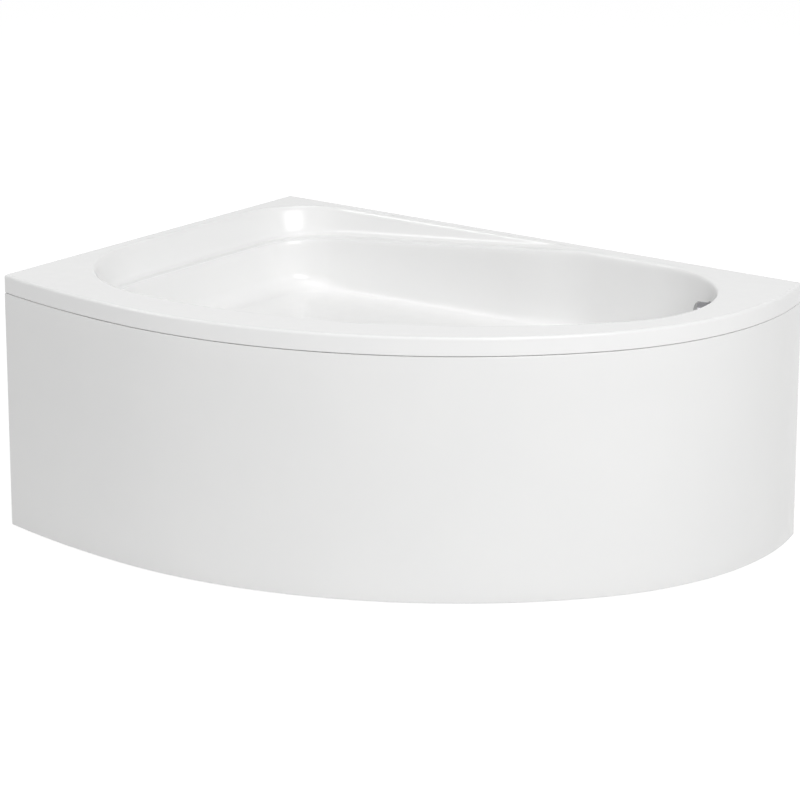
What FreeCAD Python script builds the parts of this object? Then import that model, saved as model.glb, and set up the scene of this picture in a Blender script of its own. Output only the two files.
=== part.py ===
import FreeCAD, Part
import math
import os

# Offset corner bath with a curved front panel, its underframe, waste and overflow.
# Lengths are millimetres and angles degrees. The model is laid out from the room corner:
# +X runs along the long wall, -Y along the short wall and Z is the height over the floor.
# The finished pieces are moved so that the origin lies under the middle of the bath.

Vector = FreeCAD.Vector
UP = Vector(0, 0, 1)

# Rim, seen in plan
long_wall = 1460.0
short_wall = 1020.0
rim_height = 590.0
rim_lip = 40.0
rim_corner_radius = 8.0
rim_edge_radius = 6.0
front_start_heading = -13.7
front_first_radius = 2096.0
front_first_turn = 10.4
front_middle_radius = 1154.0
front_middle_turn = 55.4

# Acrylic sheet and the laminate behind it
sheet = 5.0
laminate = 3.0
laminate_top_depth = 62.0

# Opening in the rim
short_wall_rim = 36.0
long_wall_rim = 30.0
front_rim = 112.0
opening_front_radius = 1147.0
opening_front_centre_x = 422.0
opening_left_front_radius = 335.0
opening_back_radius = 180.0
upper_wall_draft = 24.0
upper_wall_depth = 110.0

# Arm ledge: a flat band that climbs from the short wall and runs out into the rim
ledge_end_x = 900.0
ledge_slope = 0.085
ledge_width_short_wall = 55.0
ledge_width_long_wall = 47.0
ledge_narrowing_length = 75.0
ledge_bend_radius = 90.0
ledge_front_inset = 4.0
ledge_shift_x = 14.0
ledge_shift_y = 6.0

# Basin under the ledge. Its floor stands high enough for the frame and the trap.
floor_height = 170.0
basin_long_wall_rim = 50.0
basin_back_splay = 2.7
basin_left_front_radius = 285.0
basin_overflow_end_radius = 288.0
basin_back_radius = 135.0
basin_left_draft = 15.0
basin_front_draft = 12.0
basin_back_draft = 6.5
floor_round = 60.0
floor_round_steps = 6
least_corner_radius = 24.0

# Corner seat
seat_depth = 178.0
seat_left_y = -640.0
seat_right_x = 1050.0
seat_edge_radius = 3600.0
seat_edge_round = 30.0
seat_face_draft = 10.0

# Underframe
base_board_thickness = 16.0
base_board_margin = 12.0
rail_size = 30.0
rail_wall = 2.0
rail_wall_gap = 70.0
rail_panel_gap = 34.0
left_rail_x = 330.0
middle_rail_x = 760.0
right_rail_x = 1190.0
right_rail_back_y = -325.0
front_tie_y = -650.0
back_tie_y = -440.0
seat_post_size = 25.0
seat_post_y = -210.0
seat_plate_size = 70.0
seat_plate_thickness = 4.0

# Battens under the rim
batten_gap = 10.0
batten_width = 14.0
batten_height = 30.0
batten_end_gap = 60.0
front_batten_inset = 30.0
front_batten_width = 18.0
front_batten_end_turn = 6.0

# Levelling feet
foot_inset = 40.0
stud_radius = 5.0
stud_clearance = 0.05
stud_top_gap = 18.0
nut_flats = 17.0
nut_height = 8.0
lock_nut_height = 6.0
pad_radius = 24.0
pad_height = 14.0
pad_chamfer = 4.2
pad_socket_depth = 8.0
stud_collar_height = 6.0

# Front panel. The places along it are shares of the front's whole turn.
panel_sheet = 4.0
panel_gap = 2.0
panel_floor_gap = 3.0
panel_flange = 22.0
panel_end_return = 34.0
panel_edge_round = 2.5
stiffener_thickness = 12.0
stiffener_turn = 2.4
stiffener_places = (0.12, 0.33, 0.54, 0.79)
clip_places = (0.16, 0.41, 0.66, 0.89)
clip_turn = 2.0
clip_sheet = 2.0
clip_clearance = 0.3
clip_tongue_inset = 8.0
toe_width = 26.0
toe_sheet = 3.0

# Wall brackets
bracket_width = 70.0
bracket_sheet = 2.5
bracket_drop = 46.0
bracket_hook = 14.0
bracket_clearance = 0.3
bracket_hole_radius = 3.0
bracket_hole_spacing = 40.0
bracket_hole_drop = 24.0
bracket_short_wall_y = (-300.0, -800.0)
bracket_long_wall_x = (380.0, 1080.0)

# Screws. A share is the part of a board or batten that a screw reaches into or sits down.
screw_radius = 2.2
screw_head_radius = 4.6
screw_head_height = 2.4
board_screw_share = 0.75
clip_screw_share = 0.7
clip_screw_drop_share = 0.75

# Waste in the basin floor
waste_x = 1100.0
waste_y = -340.0
waste_hole_radius = 26.0
flange_radius = 36.0
flange_height = 3.0
flange_tube_radius = 24.0
flange_tube_wall = 2.5
flange_tube_length = 24.0
waste_seal_thickness = 3.0
seal_radius = 35.0
waste_body_flange_radius = 38.0
waste_body_flange_height = 6.0
waste_body_radius = 31.0
waste_body_wall = 3.5
waste_body_depth = 56.0
waste_spigot_radius = 20.0
waste_spigot_length = 20.0
board_waste_hole_radius = 50.0
running_gap = 0.05
soft_edge_share = 0.6
hand_nut_flat_share = 0.14

# Pop-up plug and the rocking finger that lifts it
plug_radius = 31.0
plug_height = 5.0
plug_rest_gap = 0.3
plug_seal_height = 2.0
plug_seal_clearance = 0.3
plug_stem_radius = 3.5
plug_stem_length = 42.0
plug_hub_radius = 7.5
plug_hub_height = 5.0
finger_reach = 12.0
finger_width = 6.0
finger_height = 5.0
finger_eye_radius = 4.5
finger_pin_radius = 1.5
finger_stem_gap = 0.6

# Trap
trap_nut_radius = 28.0
trap_nut_height = 18.0
trap_radius = 42.0
trap_wall = 3.0
trap_body_height = 40.0
trap_top_gap = 4.0
outlet_radius = 20.0
outlet_wall = 2.0
outlet_nut_length = 22.0
outlet_nut_radius = 28.0
outlet_pipe_length = 210.0
outlet_spigot_length = 60.0
outlet_stop_radius = 22.0
outlet_stop_width = 4.0
trap_socket_length = 30.0
trap_cap_height = 8.0

# Overflow in the foot-end wall
overflow_heading = 42.0
overflow_depth = 72.0
overflow_hole_radius = 26.0
overflow_plate_radius = 35.0
overflow_plate_thickness = 4.0
overflow_plate_stand = 2.7
overflow_tube_radius = 23.0
overflow_tube_bore = 19.0
overflow_tube_length = 26.0
overflow_seal_gap = 0.3
overflow_seal_thickness = 3.0
overflow_body_flange_radius = 38.0
overflow_body_flange_thickness = 4.0
overflow_body_radius = 30.0
overflow_body_wall = 3.5
overflow_body_depth = 38.0
hose_spigot_share = 0.62
knob_radius = 32.0
knob_gap = 3.0
knob_length = 24.0
knob_wall = 3.0
knob_bevel = 4.0
knob_inner_bevel = 3.0
knob_hub_radius = 8.0
spindle_radius = 4.0
spindle_hub_radius = 8.0
spindle_hub_length = 12.0
spindle_cam_radius = 10.0
spindle_cam_thickness = 4.0
backing_relief_radius = 44.0

# Overflow hose and the plug's control cable
hose_radius = 12.0
hose_bore = 9.5
hose_spigot_length = 46.0
hose_inlet_drop = 34.0
waste_inlet_length = 24.0
hose_nut_radius = 18.0
hose_nut_length = 22.0
cable_radius = 3.0
cable_wire_radius = 1.5
cable_side_offset = 26.0
cable_gland_radius = 5.5
cable_gland_length = 10.0
cable_drop = 47.0
cable_exit_share = 0.8
cable_gland_rise = 12.0
bend_share = 0.45
cable_first_bend_rise = 70.0
cable_second_bend_reach = 70.0
cable_bends = ((60.0, 110.0), (0.0, 100.0))

# Heights worked out from the sizes above
basin_depth = rim_height - floor_height
sheet_under = floor_height - sheet
laminate_under = sheet_under - laminate
board_under = laminate_under - base_board_thickness
rail_under = board_under - rail_size
rim_under = rim_height - sheet
panel_top = rim_height - rim_lip - panel_gap
seat_height = rim_height - seat_depth


def tan(angle):
    return math.tan(math.radians(angle))


def heading(angle):
    """Unit vector in plan, turned by an angle from +X."""
    return Vector(math.cos(math.radians(angle)), math.sin(math.radians(angle)), 0)


def left_of(direction):
    return Vector(-direction.y, direction.x, 0)


def unit(vector):
    return Vector(vector).normalize()


# ---- Outlines: rings of straight and bowed sides with rounded corners ----


class Straight:
    """Straight side through a point, travelled along a heading with the inside on its left."""

    def __init__(self, point, angle):
        self.point = point
        self.angle = angle
        self.along = heading(angle)

    def inset(self, distance):
        return Straight(self.point + left_of(self.along) * distance, self.angle)

    def foot(self, point):
        return self.point + self.along * (point - self.point).dot(self.along)

    def along_at(self, point):
        return self.along

    def edge(self, start, end):
        return Part.makeLine(start, end)


class Bow:
    """Circular side, travelled anticlockwise round its centre."""

    def __init__(self, centre, radius):
        self.centre = centre
        self.radius = radius

    def inset(self, distance):
        return Bow(self.centre, self.radius - distance)

    def foot(self, point):
        return self.centre + unit(point - self.centre) * self.radius

    def along_at(self, point):
        return left_of(unit(point - self.centre))

    def at(self, angle):
        """Point where the side runs along a heading."""
        return self.centre + heading(angle - 90) * self.radius

    def edge(self, start, end):
        middle = unit(start - self.centre) + unit(end - self.centre)
        return Part.Arc(start, self.centre + unit(middle) * self.radius, end).toShape()


def crossings(first, second):
    """Points where two sides cross."""
    if isinstance(first, Straight) and isinstance(second, Straight):
        across = left_of(second.along)
        reach = (second.point - first.point).dot(across) / first.along.dot(across)
        return [first.point + first.along * reach]
    if isinstance(first, Bow) and isinstance(second, Bow):
        apart = second.centre - first.centre
        reach = (apart.Length ** 2 + first.radius ** 2 - second.radius ** 2) / (2 * apart.Length)
        half = math.sqrt(first.radius ** 2 - reach ** 2)
        middle = first.centre + unit(apart) * reach
        return [middle + left_of(unit(apart)) * half, middle - left_of(unit(apart)) * half]
    line, bow = (first, second) if isinstance(first, Straight) else (second, first)
    middle = line.foot(bow.centre)
    half = math.sqrt(bow.radius ** 2 - (middle - bow.centre).Length ** 2)
    return [middle + line.along * half, middle - line.along * half]


def turned_crossing(first, second, turn):
    """The crossing where the outline turns left (turn above 0) or right (below 0)."""
    for point in crossings(first, second):
        if first.along_at(point).cross(second.along_at(point)).z * turn > 0:
            return point
    raise ValueError("two sides of an outline do not meet")


def corner_centre(before, after, radius):
    return turned_crossing(before.inset(radius), after.inset(radius), radius)


def corner_points(before, after, rounding):
    """Start and end of a corner, and its arc. A tangent join has no arc of its own."""
    if isinstance(rounding, tuple):
        join = before.at(rounding[1])
        return join, join, None
    centre = corner_centre(before, after, rounding)
    start = before.foot(centre)
    end = after.foot(centre)
    middle = centre + unit(start + end - centre * 2) * abs(rounding)
    return start, end, Part.Arc(start, middle, end).toShape()


def outline(sides, roundings, height):
    """Closed wire of the sides. A negative rounding is a corner that turns outwards."""
    corners = []
    for i, rounding in enumerate(roundings):
        corners.append(corner_points(sides[i], sides[(i + 1) % len(sides)], rounding))
    edges = []
    for i, side in enumerate(sides):
        edges.append(side.edge(corners[i - 1][1], corners[i][0]))
        if corners[i][2] is not None:
            edges.append(corners[i][2])
    wire = Part.Wire(edges)
    wire.translate(Vector(0, 0, height))
    return wire


def prism(wire, height):
    return Part.Face(wire).extrude(Vector(0, 0, height))


# ---- The rim's outline: two walls and a front of three arcs ----


def front_bows():
    """The front's arcs. The last one is bent to end at the long wall."""
    first_heading = front_start_heading + front_first_turn
    last_heading = first_heading + front_middle_turn
    start = Vector(0, -short_wall, 0)
    first = Bow(start - heading(front_start_heading - 90) * front_first_radius, front_first_radius)
    join = first.at(first_heading)
    middle = Bow(join - heading(first_heading - 90) * front_middle_radius, front_middle_radius)
    join = middle.at(last_heading)
    chord = Vector(long_wall, 0, 0) - join
    across = left_of(heading(last_heading))
    radius = chord.Length ** 2 / (2 * chord.dot(across))
    return [first, middle, Bow(join + across * radius, radius)], first_heading, last_heading


bows, first_join, last_join = front_bows()
wall_sides = (Straight(Vector(0, 0, 0), 270), Straight(Vector(0, 0, 0), 180))
front_depth = bows[1].radius - bows[1].centre.y
front_reach = bows[2].centre.x + bows[2].radius
end_arm = Vector(long_wall, 0, 0) - bows[2].centre
front_end_heading = 90 + math.degrees(math.atan2(end_arm.y, end_arm.x))


def rim_outline(inset, height):
    sides = [wall_sides[0]] + bows + [wall_sides[1]]
    corner = max(rim_corner_radius - inset, 2.0)
    roundings = [corner, ("tangent", first_join), ("tangent", last_join), corner, corner]
    return outline([side.inset(inset) for side in sides], roundings, height)


def front_bow(angle):
    if angle < first_join:
        return bows[0]
    if angle < last_join:
        return bows[1]
    return bows[2]


def front_point(angle, inset, height=0.0):
    """Point on the front where it runs along a heading, moved inwards and up."""
    return front_bow(angle).inset(inset).at(angle) + UP * height


def front_headings(places):
    return [front_start_heading + place * (front_end_heading - front_start_heading) for place in places]


def front_y(x):
    """How far forward the front lies at a place along the long wall."""
    for bow, end in zip(bows, (bows[0].at(first_join), bows[1].at(last_join))):
        if x <= end.x:
            return bow.centre.y - math.sqrt(bow.radius ** 2 - (x - bow.centre.x) ** 2)
    return bows[2].centre.y - math.sqrt(bows[2].radius ** 2 - (x - bows[2].centre.x) ** 2)


def front_arcs(inset, start, end):
    """Edges that follow the front between two headings."""
    stops = [start] + [join for join in (first_join, last_join) if start < join < end] + [end]
    edges = []
    for a, b in zip(stops, stops[1:]):
        bow = front_bow((a + b) / 2).inset(inset)
        edges.append(bow.edge(bow.at(a), bow.at(b)))
    return edges


def front_strip(outer_inset, inner_inset, start, end, bottom, top):
    """Solid strip that follows the front between two headings."""
    edges = front_arcs(outer_inset, start, end) + front_arcs(inner_inset, start, end)
    for angle in (start, end):
        edges.append(Part.makeLine(front_point(angle, outer_inset), front_point(angle, inner_inset)))
    wire = Part.Wire(Part.sortEdges(edges)[0])
    wire.translate(Vector(0, 0, bottom))
    return prism(wire, top - bottom)


# ---- The hollow of the bath ----


opening_front = Bow(Vector(opening_front_centre_x, opening_front_radius - front_depth + front_rim, 0),
                    opening_front_radius)
basin_front = Bow(opening_front.centre + Vector(ledge_shift_x, ledge_shift_y, 0),
                  opening_front_radius - ledge_front_inset)


def opening_level(depth, grow):
    """Outline of the upper wall at a depth under the rim, grown outwards."""
    inset = depth * tan(upper_wall_draft) - grow
    sides = [Straight(Vector(short_wall_rim, 0, 0), 270), opening_front,
             Straight(Vector(0, -long_wall_rim, 0), 180)]
    radii = (opening_left_front_radius, basin_overflow_end_radius, opening_back_radius)
    return outline([side.inset(inset) for side in sides], [radius - inset for radius in radii],
                   rim_height - depth)


def basin_sides(depth, extra):
    """Sides and roundings of the basin at a depth, each side on its own draft."""
    narrow_y = -(long_wall_rim + ledge_width_long_wall)
    narrow_x = ledge_end_x - ledge_narrowing_length
    step = ledge_width_long_wall + long_wall_rim - basin_long_wall_rim
    bend = math.degrees(math.atan2(step, ledge_narrowing_length))
    sides = [Straight(Vector(short_wall_rim + ledge_width_short_wall, 0, 0), 270), basin_front,
             Straight(Vector(0, -basin_long_wall_rim, 0), 180),
             Straight(Vector(ledge_end_x, -basin_long_wall_rim, 0), 180 + bend),
             Straight(Vector(narrow_x, narrow_y, 0), 180 + basin_back_splay)]
    drafts = (basin_left_draft, basin_front_draft, basin_back_draft, basin_back_draft, basin_back_draft)
    insets = [depth * tan(draft) + extra for draft in drafts]
    radii = (basin_left_front_radius, basin_overflow_end_radius, ledge_bend_radius,
             -ledge_bend_radius, basin_back_radius)
    roundings = []
    for i, radius in enumerate(radii):
        shrink = (insets[i] + insets[(i + 1) % len(insets)]) / 2
        if radius > 0:
            roundings.append(max(radius - shrink, least_corner_radius))
        else:
            roundings.append(min(radius - shrink, -least_corner_radius))
    return [side.inset(inset) for side, inset in zip(sides, insets)], roundings


def basin_hollow(grow, top_depth):
    """Inside of the basin as a solid, with a rounded foot to its walls."""
    depth = basin_depth + grow
    foot = floor_round + grow
    straight = depth - foot
    levels = [(top_depth, 0.0), (straight, 0.0)]
    for step in range(1, floor_round_steps + 1):
        turn = math.radians(90.0 * step / floor_round_steps)
        levels.append((straight + foot * math.sin(turn), foot * (1 - math.cos(turn))))
    wires = []
    for level, extra in levels:
        sides, roundings = basin_sides(level, extra - grow)
        wires.append(outline(sides, roundings, rim_height - level))
    return Part.makeLoft(wires, True, True)


def ledge_height(x):
    return rim_height - (ledge_end_x - x) * ledge_slope


def opening_hollow(grow, top_depth):
    """Space inside the upper wall, down to the sloping ledge."""
    wires = [opening_level(top_depth, grow), opening_level(upper_wall_depth, grow)]
    walls = Part.makeLoft(wires, True, True)
    far = 2 * long_wall
    corners = [Vector(-far, 0, ledge_height(-far) - grow), Vector(far, 0, ledge_height(far) - grow),
               Vector(far, 0, 3 * rim_height), Vector(-far, 0, 3 * rim_height)]
    above = Part.Face(Part.makePolygon(corners + corners[:1])).extrude(Vector(0, far, 0))
    above.translate(Vector(0, -far / 2, 0))
    return walls.common(above)


def seat_circle():
    """Centre of the seat's front edge in plan, on the bather's side of it."""
    left_x = short_wall_rim + ledge_width_short_wall + seat_depth * tan(basin_left_draft)
    left = Vector(left_x, seat_left_y, 0)
    right = Vector(seat_right_x, -basin_long_wall_rim - seat_depth * tan(basin_back_draft), 0)
    chord = right - left
    rise = math.sqrt(seat_edge_radius ** 2 - (chord.Length / 2) ** 2)
    return (left + right) * 0.5 - left_of(unit(chord)) * rise


def seat_block(grow):
    """The corner that the seat keeps out of the basin, with a rounded front edge."""
    top = seat_height - grow
    bottom = floor_height - 4 * sheet - grow
    radius = seat_edge_radius + grow
    foot_radius = radius - (top - bottom) * tan(seat_face_draft)
    block = Part.makeBox(2 * long_wall, 2 * short_wall, top - bottom,
                         Vector(-long_wall / 2, -1.5 * short_wall, bottom))
    cone = Part.makeCone(foot_radius, radius, top - bottom, seat_circle() + UP * bottom, UP)
    block = block.cut(cone)
    edges = []
    for edge in block.Edges:
        middle = edge.valueAt((edge.FirstParameter + edge.LastParameter) / 2)
        round_edge = isinstance(edge.Curve, Part.Circle)
        if round_edge and abs(middle.z - top) < 0.01:
            edges.append(edge)
    block = block.makeFillet(seat_edge_round - grow, edges)
    corner = Part.makeBox(2 * long_wall, 2 * short_wall, 4 * rim_height,
                          Vector(-long_wall / 2, -1.5 * short_wall, -rim_height))
    nearest = [solid for solid in block.common(corner).Solids
               if solid.isInside(Vector(sheet, -sheet, top - sheet), 0.1, True)]
    return nearest[0]


def hollow(grow, top_depth):
    """Everything inside the bath's skin, grown outwards by the skin's thickness."""
    whole = basin_hollow(grow, top_depth).fuse(opening_hollow(grow, top_depth))
    return whole.cut(seat_block(grow))


# ---- Small helpers ----


def tube(point, axis, radius, bore, length):
    outer = Part.makeCylinder(radius, length, point, axis)
    return outer.cut(Part.makeCylinder(bore, length, point, axis))


def rod(point, axis, radius, length):
    return Part.makeCylinder(radius, length, point, axis)


def box(x, y, z, length, width, height):
    return Part.makeBox(length, width, height, Vector(x, y, z))


def hexagon(point, axis, flats, length, bore):
    """Hexagonal nut round a bore."""
    ring = []
    for i in range(7):
        turn = math.radians(60 * i)
        ring.append(Vector(math.cos(turn), math.sin(turn), 0) * (flats / math.sqrt(3)))
    nut = Part.Face(Part.makePolygon(ring)).extrude(Vector(0, 0, length))
    nut = nut.cut(Part.makeCylinder(bore, length))
    nut.Placement = FreeCAD.Placement(point, FreeCAD.Rotation(UP, axis))
    return nut


def round_nut(point, axis, radius, bore, length):
    """Hand nut with eight finger flats cut into its rim."""
    nut = Part.makeCylinder(radius, length)
    for i in range(8):
        nut = nut.cut(Part.makeCylinder(radius * hand_nut_flat_share, length, heading(45 * i) * radius))
    nut = nut.cut(Part.makeCylinder(bore, length))
    nut.Placement = FreeCAD.Placement(point, FreeCAD.Rotation(UP, axis))
    return nut


def screw(point, axis, length):
    """Pan-head screw whose head sits on a face and whose shank runs along the axis."""
    shank = Part.makeCylinder(screw_radius, length, point, axis)
    top = point - unit(axis) * screw_head_height
    head = Part.makeCylinder(screw_head_radius, screw_head_height, top, axis)
    return shank.fuse(head).removeSplitter()


def edges_at(shape, height):
    """Edges of a shape that lie whole at one height."""
    found = []
    for edge in shape.Edges:
        if all(abs(vertex.Z - height) < 0.01 for vertex in edge.Vertexes):
            found.append(edge)
    return found


def bent_path(points):
    """Straight runs joined by tangent arcs as large as the runs allow."""
    edges = []
    start = points[0]
    for i in range(1, len(points) - 1):
        before = points[i] - points[i - 1]
        after = points[i + 1] - points[i]
        turn = before.getAngle(after)
        reach = bend_share * min(before.Length, after.Length)
        radius = reach / math.tan(turn / 2)
        print("bend radius", round(radius, 1))
        arc_start = points[i] - unit(before) * reach
        arc_end = points[i] + unit(after) * reach
        inwards = unit(unit(after) - unit(before))
        middle = points[i] + inwards * (radius / math.cos(turn / 2) - radius)
        edges.append(Part.makeLine(start, arc_start))
        edges.append(Part.Arc(arc_start, middle, arc_end).toShape())
        start = arc_end
    edges.append(Part.makeLine(start, points[-1]))
    return Part.Wire(edges)


def bent_rod(points, radius):
    path = bent_path(points)
    section = Part.Wire(Part.makeCircle(radius, points[0], points[1] - points[0]))
    return path.makePipeShell([section], True, True)


# ---- Skin, laminate and board ----


waste_point = Vector(waste_x, waste_y, 0)


def overflow_seat(depth):
    """Point of the foot-end wall at the overflow's heading."""
    sides, roundings = basin_sides(depth, 0.0)
    centre = corner_centre(sides[1], sides[2], roundings[1])
    return centre + heading(overflow_heading) * roundings[1] + UP * (rim_height - depth)


overflow_point = overflow_seat(overflow_depth)
wall_climb = unit(overflow_seat(0.0) - overflow_seat(2 * overflow_depth))
overflow_axis = unit(wall_climb.cross(left_of(heading(overflow_heading))))
overflow_turn = FreeCAD.Rotation(UP, overflow_axis)


def at_overflow(shape):
    """Move a shape modelled along Z to the overflow, with Z pointing into the bath."""
    moved = shape.copy()
    moved.Placement = FreeCAD.Placement(overflow_point, overflow_turn).multiply(shape.Placement)
    return moved


def overflow_drill(radius):
    reach = 2 * overflow_body_depth
    return at_overflow(Part.makeCylinder(radius, 2 * reach, Vector(0, 0, -reach)))


def bath_shell():
    """One acrylic sheet: flat rim, turned-down lip, ledge, seat and basin."""
    tray = prism(rim_outline(0.0, rim_height - rim_lip), rim_lip)
    tray = tray.makeFillet(rim_edge_radius, edges_at(tray, rim_height))
    tray = tray.cut(prism(rim_outline(sheet, rim_height - 2 * rim_lip), 2 * rim_lip - sheet))
    body = tray.fuse(hollow(sheet, sheet / 2))
    body = body.cut(hollow(0.0, -4 * sheet))
    body = body.cut(rod(waste_point, UP, waste_hole_radius, rim_height))
    return body.cut(overflow_drill(overflow_hole_radius))


def glass_fibre_backing():
    """Laminate sprayed on the outside of the basin, under the rim."""
    outer = hollow(sheet + laminate, laminate_top_depth)
    skin = outer.cut(hollow(sheet, laminate_top_depth - 2 * sheet))
    skin = skin.cut(rod(waste_point, UP, waste_hole_radius, rim_height))
    return skin.cut(overflow_drill(backing_relief_radius))


def board_outline(height):
    sides, roundings = basin_sides(basin_depth, floor_round + base_board_margin)
    return outline(sides, roundings, height)


def base_board():
    """Board bonded under the flat floor, which the rails are screwed to."""
    board = prism(board_outline(board_under), base_board_thickness)
    foot_radius = seat_edge_radius - (seat_height - floor_height) * tan(seat_face_draft)
    limit = rod(seat_circle(), UP, foot_radius - base_board_margin, rim_height)
    board = board.common(limit)
    return board.cut(rod(waste_point, UP, board_waste_hole_radius, rim_height))


def wall_batten_long():
    start = short_wall_rim + opening_back_radius
    end = long_wall - batten_end_gap
    return box(start, -batten_gap - batten_width, rim_under - batten_height, end - start, batten_width,
               batten_height)


def wall_batten_short():
    start = -short_wall + batten_end_gap
    end = -long_wall_rim - opening_back_radius
    return box(batten_gap, start, rim_under - batten_height, batten_width, end - start, batten_height)


def front_batten():
    """Laminated strip bent to the front and bonded under the rim."""
    return front_strip(front_batten_inset, front_batten_inset + front_batten_width,
                       front_start_heading + front_batten_end_turn, front_end_heading - front_batten_end_turn,
                       rim_under - batten_height, rim_under)


# ---- Underframe ----


rails = {
    "left": (left_rail_x, -rail_wall_gap),
    "middle": (middle_rail_x, -rail_wall_gap),
    "right": (right_rail_x, right_rail_back_y),
}


def rail_front(x):
    """Front end of a rail, square to it and clear of the panel's inner face."""
    return max(front_y(x - rail_size / 2), front_y(x + rail_size / 2)) + panel_sheet + rail_panel_gap


def foot_points():
    """Where the studs stand: near both ends of each rail."""
    points = []
    for x, back in rails.values():
        points.append(Vector(x, back - foot_inset, 0))
        points.append(Vector(x, rail_front(x) + foot_inset, 0))
    return points


def square_tube(x, y, z, length, width, height, wall):
    """Box section along its longer plan side, open at both ends."""
    outer = box(x, y, z, length, width, height)
    if length > width:
        return outer.cut(box(x, y + wall, z + wall, length, width - 2 * wall, height - 2 * wall))
    return outer.cut(box(x + wall, y, z + wall, length - 2 * wall, width, height - 2 * wall))


def frame_rail(name):
    x, back = rails[name]
    front = rail_front(x)
    rail = square_tube(x - rail_size / 2, front, rail_under, rail_size, back - front, rail_size, rail_wall)
    hole = stud_radius + 10 * stud_clearance
    for point in foot_points():
        rail = rail.cut(rod(point + UP * rail_under, UP, hole, rail_wall))
    for point in board_screw_points():
        rail = rail.cut(rod(point + UP * rail_under, UP, screw_head_radius + rail_wall, rail_wall))
        rail = rail.cut(rod(point + UP * (board_under - rail_wall), UP, screw_radius, rail_wall))
    return rail


def frame_ties(y):
    """Two cross tubes between the rails, butt welded to their sides."""
    half = rail_size / 2
    ties = []
    for a, b in ((left_rail_x, middle_rail_x), (middle_rail_x, right_rail_x)):
        length = b - a - rail_size
        ties.append(square_tube(a + half, y - half, rail_under, length, rail_size, rail_size, rail_wall))
    return Part.makeCompound(ties)


def board_screw_points():
    """Screws into the board beside each tie, where the board lies over the rail."""
    points = []
    for x in (left_rail_x, middle_rail_x, right_rail_x):
        for y in (front_tie_y - rail_size, front_tie_y + rail_size):
            points.append(Vector(x, y, 0))
    for x in (middle_rail_x, right_rail_x):
        points.append(Vector(x, back_tie_y - rail_size, 0))
    return points


def board_screws():
    """Their heads sit inside the rails, on the rails' upper wall."""
    screws = []
    for point in board_screw_points():
        seat = point + UP * (board_under - rail_wall)
        screws.append(screw(seat, UP, rail_wall + base_board_thickness * board_screw_share))
    return Part.makeCompound(screws)


def seat_post():
    """Square post on the left rail with a plate under the seat."""
    half = seat_post_size / 2
    top = seat_height - sheet - laminate - seat_plate_thickness
    post = box(left_rail_x - half, seat_post_y - half, board_under, seat_post_size, seat_post_size,
               top - board_under)
    inner = seat_post_size - 2 * rail_wall
    post = post.cut(box(left_rail_x - inner / 2, seat_post_y - inner / 2, board_under, inner, inner,
                        top - board_under))
    plate = box(left_rail_x - seat_plate_size / 2, seat_post_y - seat_plate_size / 2, top, seat_plate_size,
                seat_plate_size, seat_plate_thickness)
    return post.fuse(plate)


# ---- Levelling feet ----


def rail_nuts():
    """Nuts welded under the rails."""
    bore = stud_radius + stud_clearance
    bottom = rail_under - nut_height
    return Part.makeCompound([hexagon(point + UP * bottom, UP, nut_flats, nut_height, bore)
                              for point in foot_points()])


def lock_nuts():
    """Thin nuts tightened against the welded ones."""
    bore = stud_radius + stud_clearance
    bottom = rail_under - nut_height - lock_nut_height
    return Part.makeCompound([hexagon(point + UP * bottom, UP, nut_flats, lock_nut_height, bore)
                              for point in foot_points()])


def foot_stud(point):
    bottom = pad_height - pad_socket_depth
    stud = rod(point + UP * bottom, UP, stud_radius, board_under - stud_top_gap - bottom)
    collar = hexagon(point + UP * pad_height, UP, nut_flats, stud_collar_height, stud_radius / 2)
    return stud.fuse(collar)


def foot_pad(point):
    """Moulded pad with a socket for the stud and a chamfered top edge."""
    pad = Part.makeCylinder(pad_radius, pad_height, point)
    pad = pad.makeChamfer(pad_chamfer, edges_at(pad, pad_height))
    socket = point + UP * (pad_height - pad_socket_depth)
    return pad.cut(rod(socket, UP, stud_radius + stud_clearance, pad_height))


# ---- Front panel and its fixings ----


def apron_panel():
    """Formed sheet with top and bottom flanges and a return at each wall."""
    panel = front_strip(0.0, panel_sheet, front_start_heading, front_end_heading, panel_floor_gap, panel_top)
    for bottom in (panel_floor_gap, panel_top - panel_sheet):
        flange = front_strip(0.0, panel_flange, front_start_heading, front_end_heading, bottom,
                             bottom + panel_sheet)
        panel = panel.fuse(flange)
    height = panel_top - panel_floor_gap
    panel = panel.fuse(box(0, -short_wall, panel_floor_gap, panel_sheet, panel_end_return, height))
    end = long_wall - panel_end_return
    panel = panel.fuse(box(end, -panel_sheet, panel_floor_gap, panel_end_return, panel_sheet, height))
    walls = box(-long_wall, -3 * short_wall, 0, long_wall, 4 * short_wall, rim_height)
    walls = walls.fuse(box(-long_wall, 0, 0, 4 * long_wall, short_wall, rim_height))
    panel = panel.cut(walls).removeSplitter()
    middle = front_point(front_start_heading + front_first_turn / 2, 0.0, panel_top)
    edges = []
    for edge in edges_at(panel, panel_top):
        curve = edge.Curve
        if isinstance(curve, Part.Circle) and abs(curve.Radius - front_middle_radius) < panel_sheet / 2:
            edges.append(edge)
        elif edge.distToShape(Part.Vertex(middle))[0] < 0.01:
            edges.append(edge)
    return panel.makeFillet(panel_edge_round, edges)


def panel_stiffeners():
    """Upright boards bonded to the inside of the panel, between its flanges."""
    bottom = panel_floor_gap + panel_sheet
    top = panel_top - panel_sheet
    boards = []
    for angle in front_headings(stiffener_places):
        boards.append(front_strip(panel_sheet, panel_sheet + stiffener_thickness, angle - stiffener_turn / 2,
                                  angle + stiffener_turn / 2, bottom, top))
    return Part.makeCompound(boards)


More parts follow.
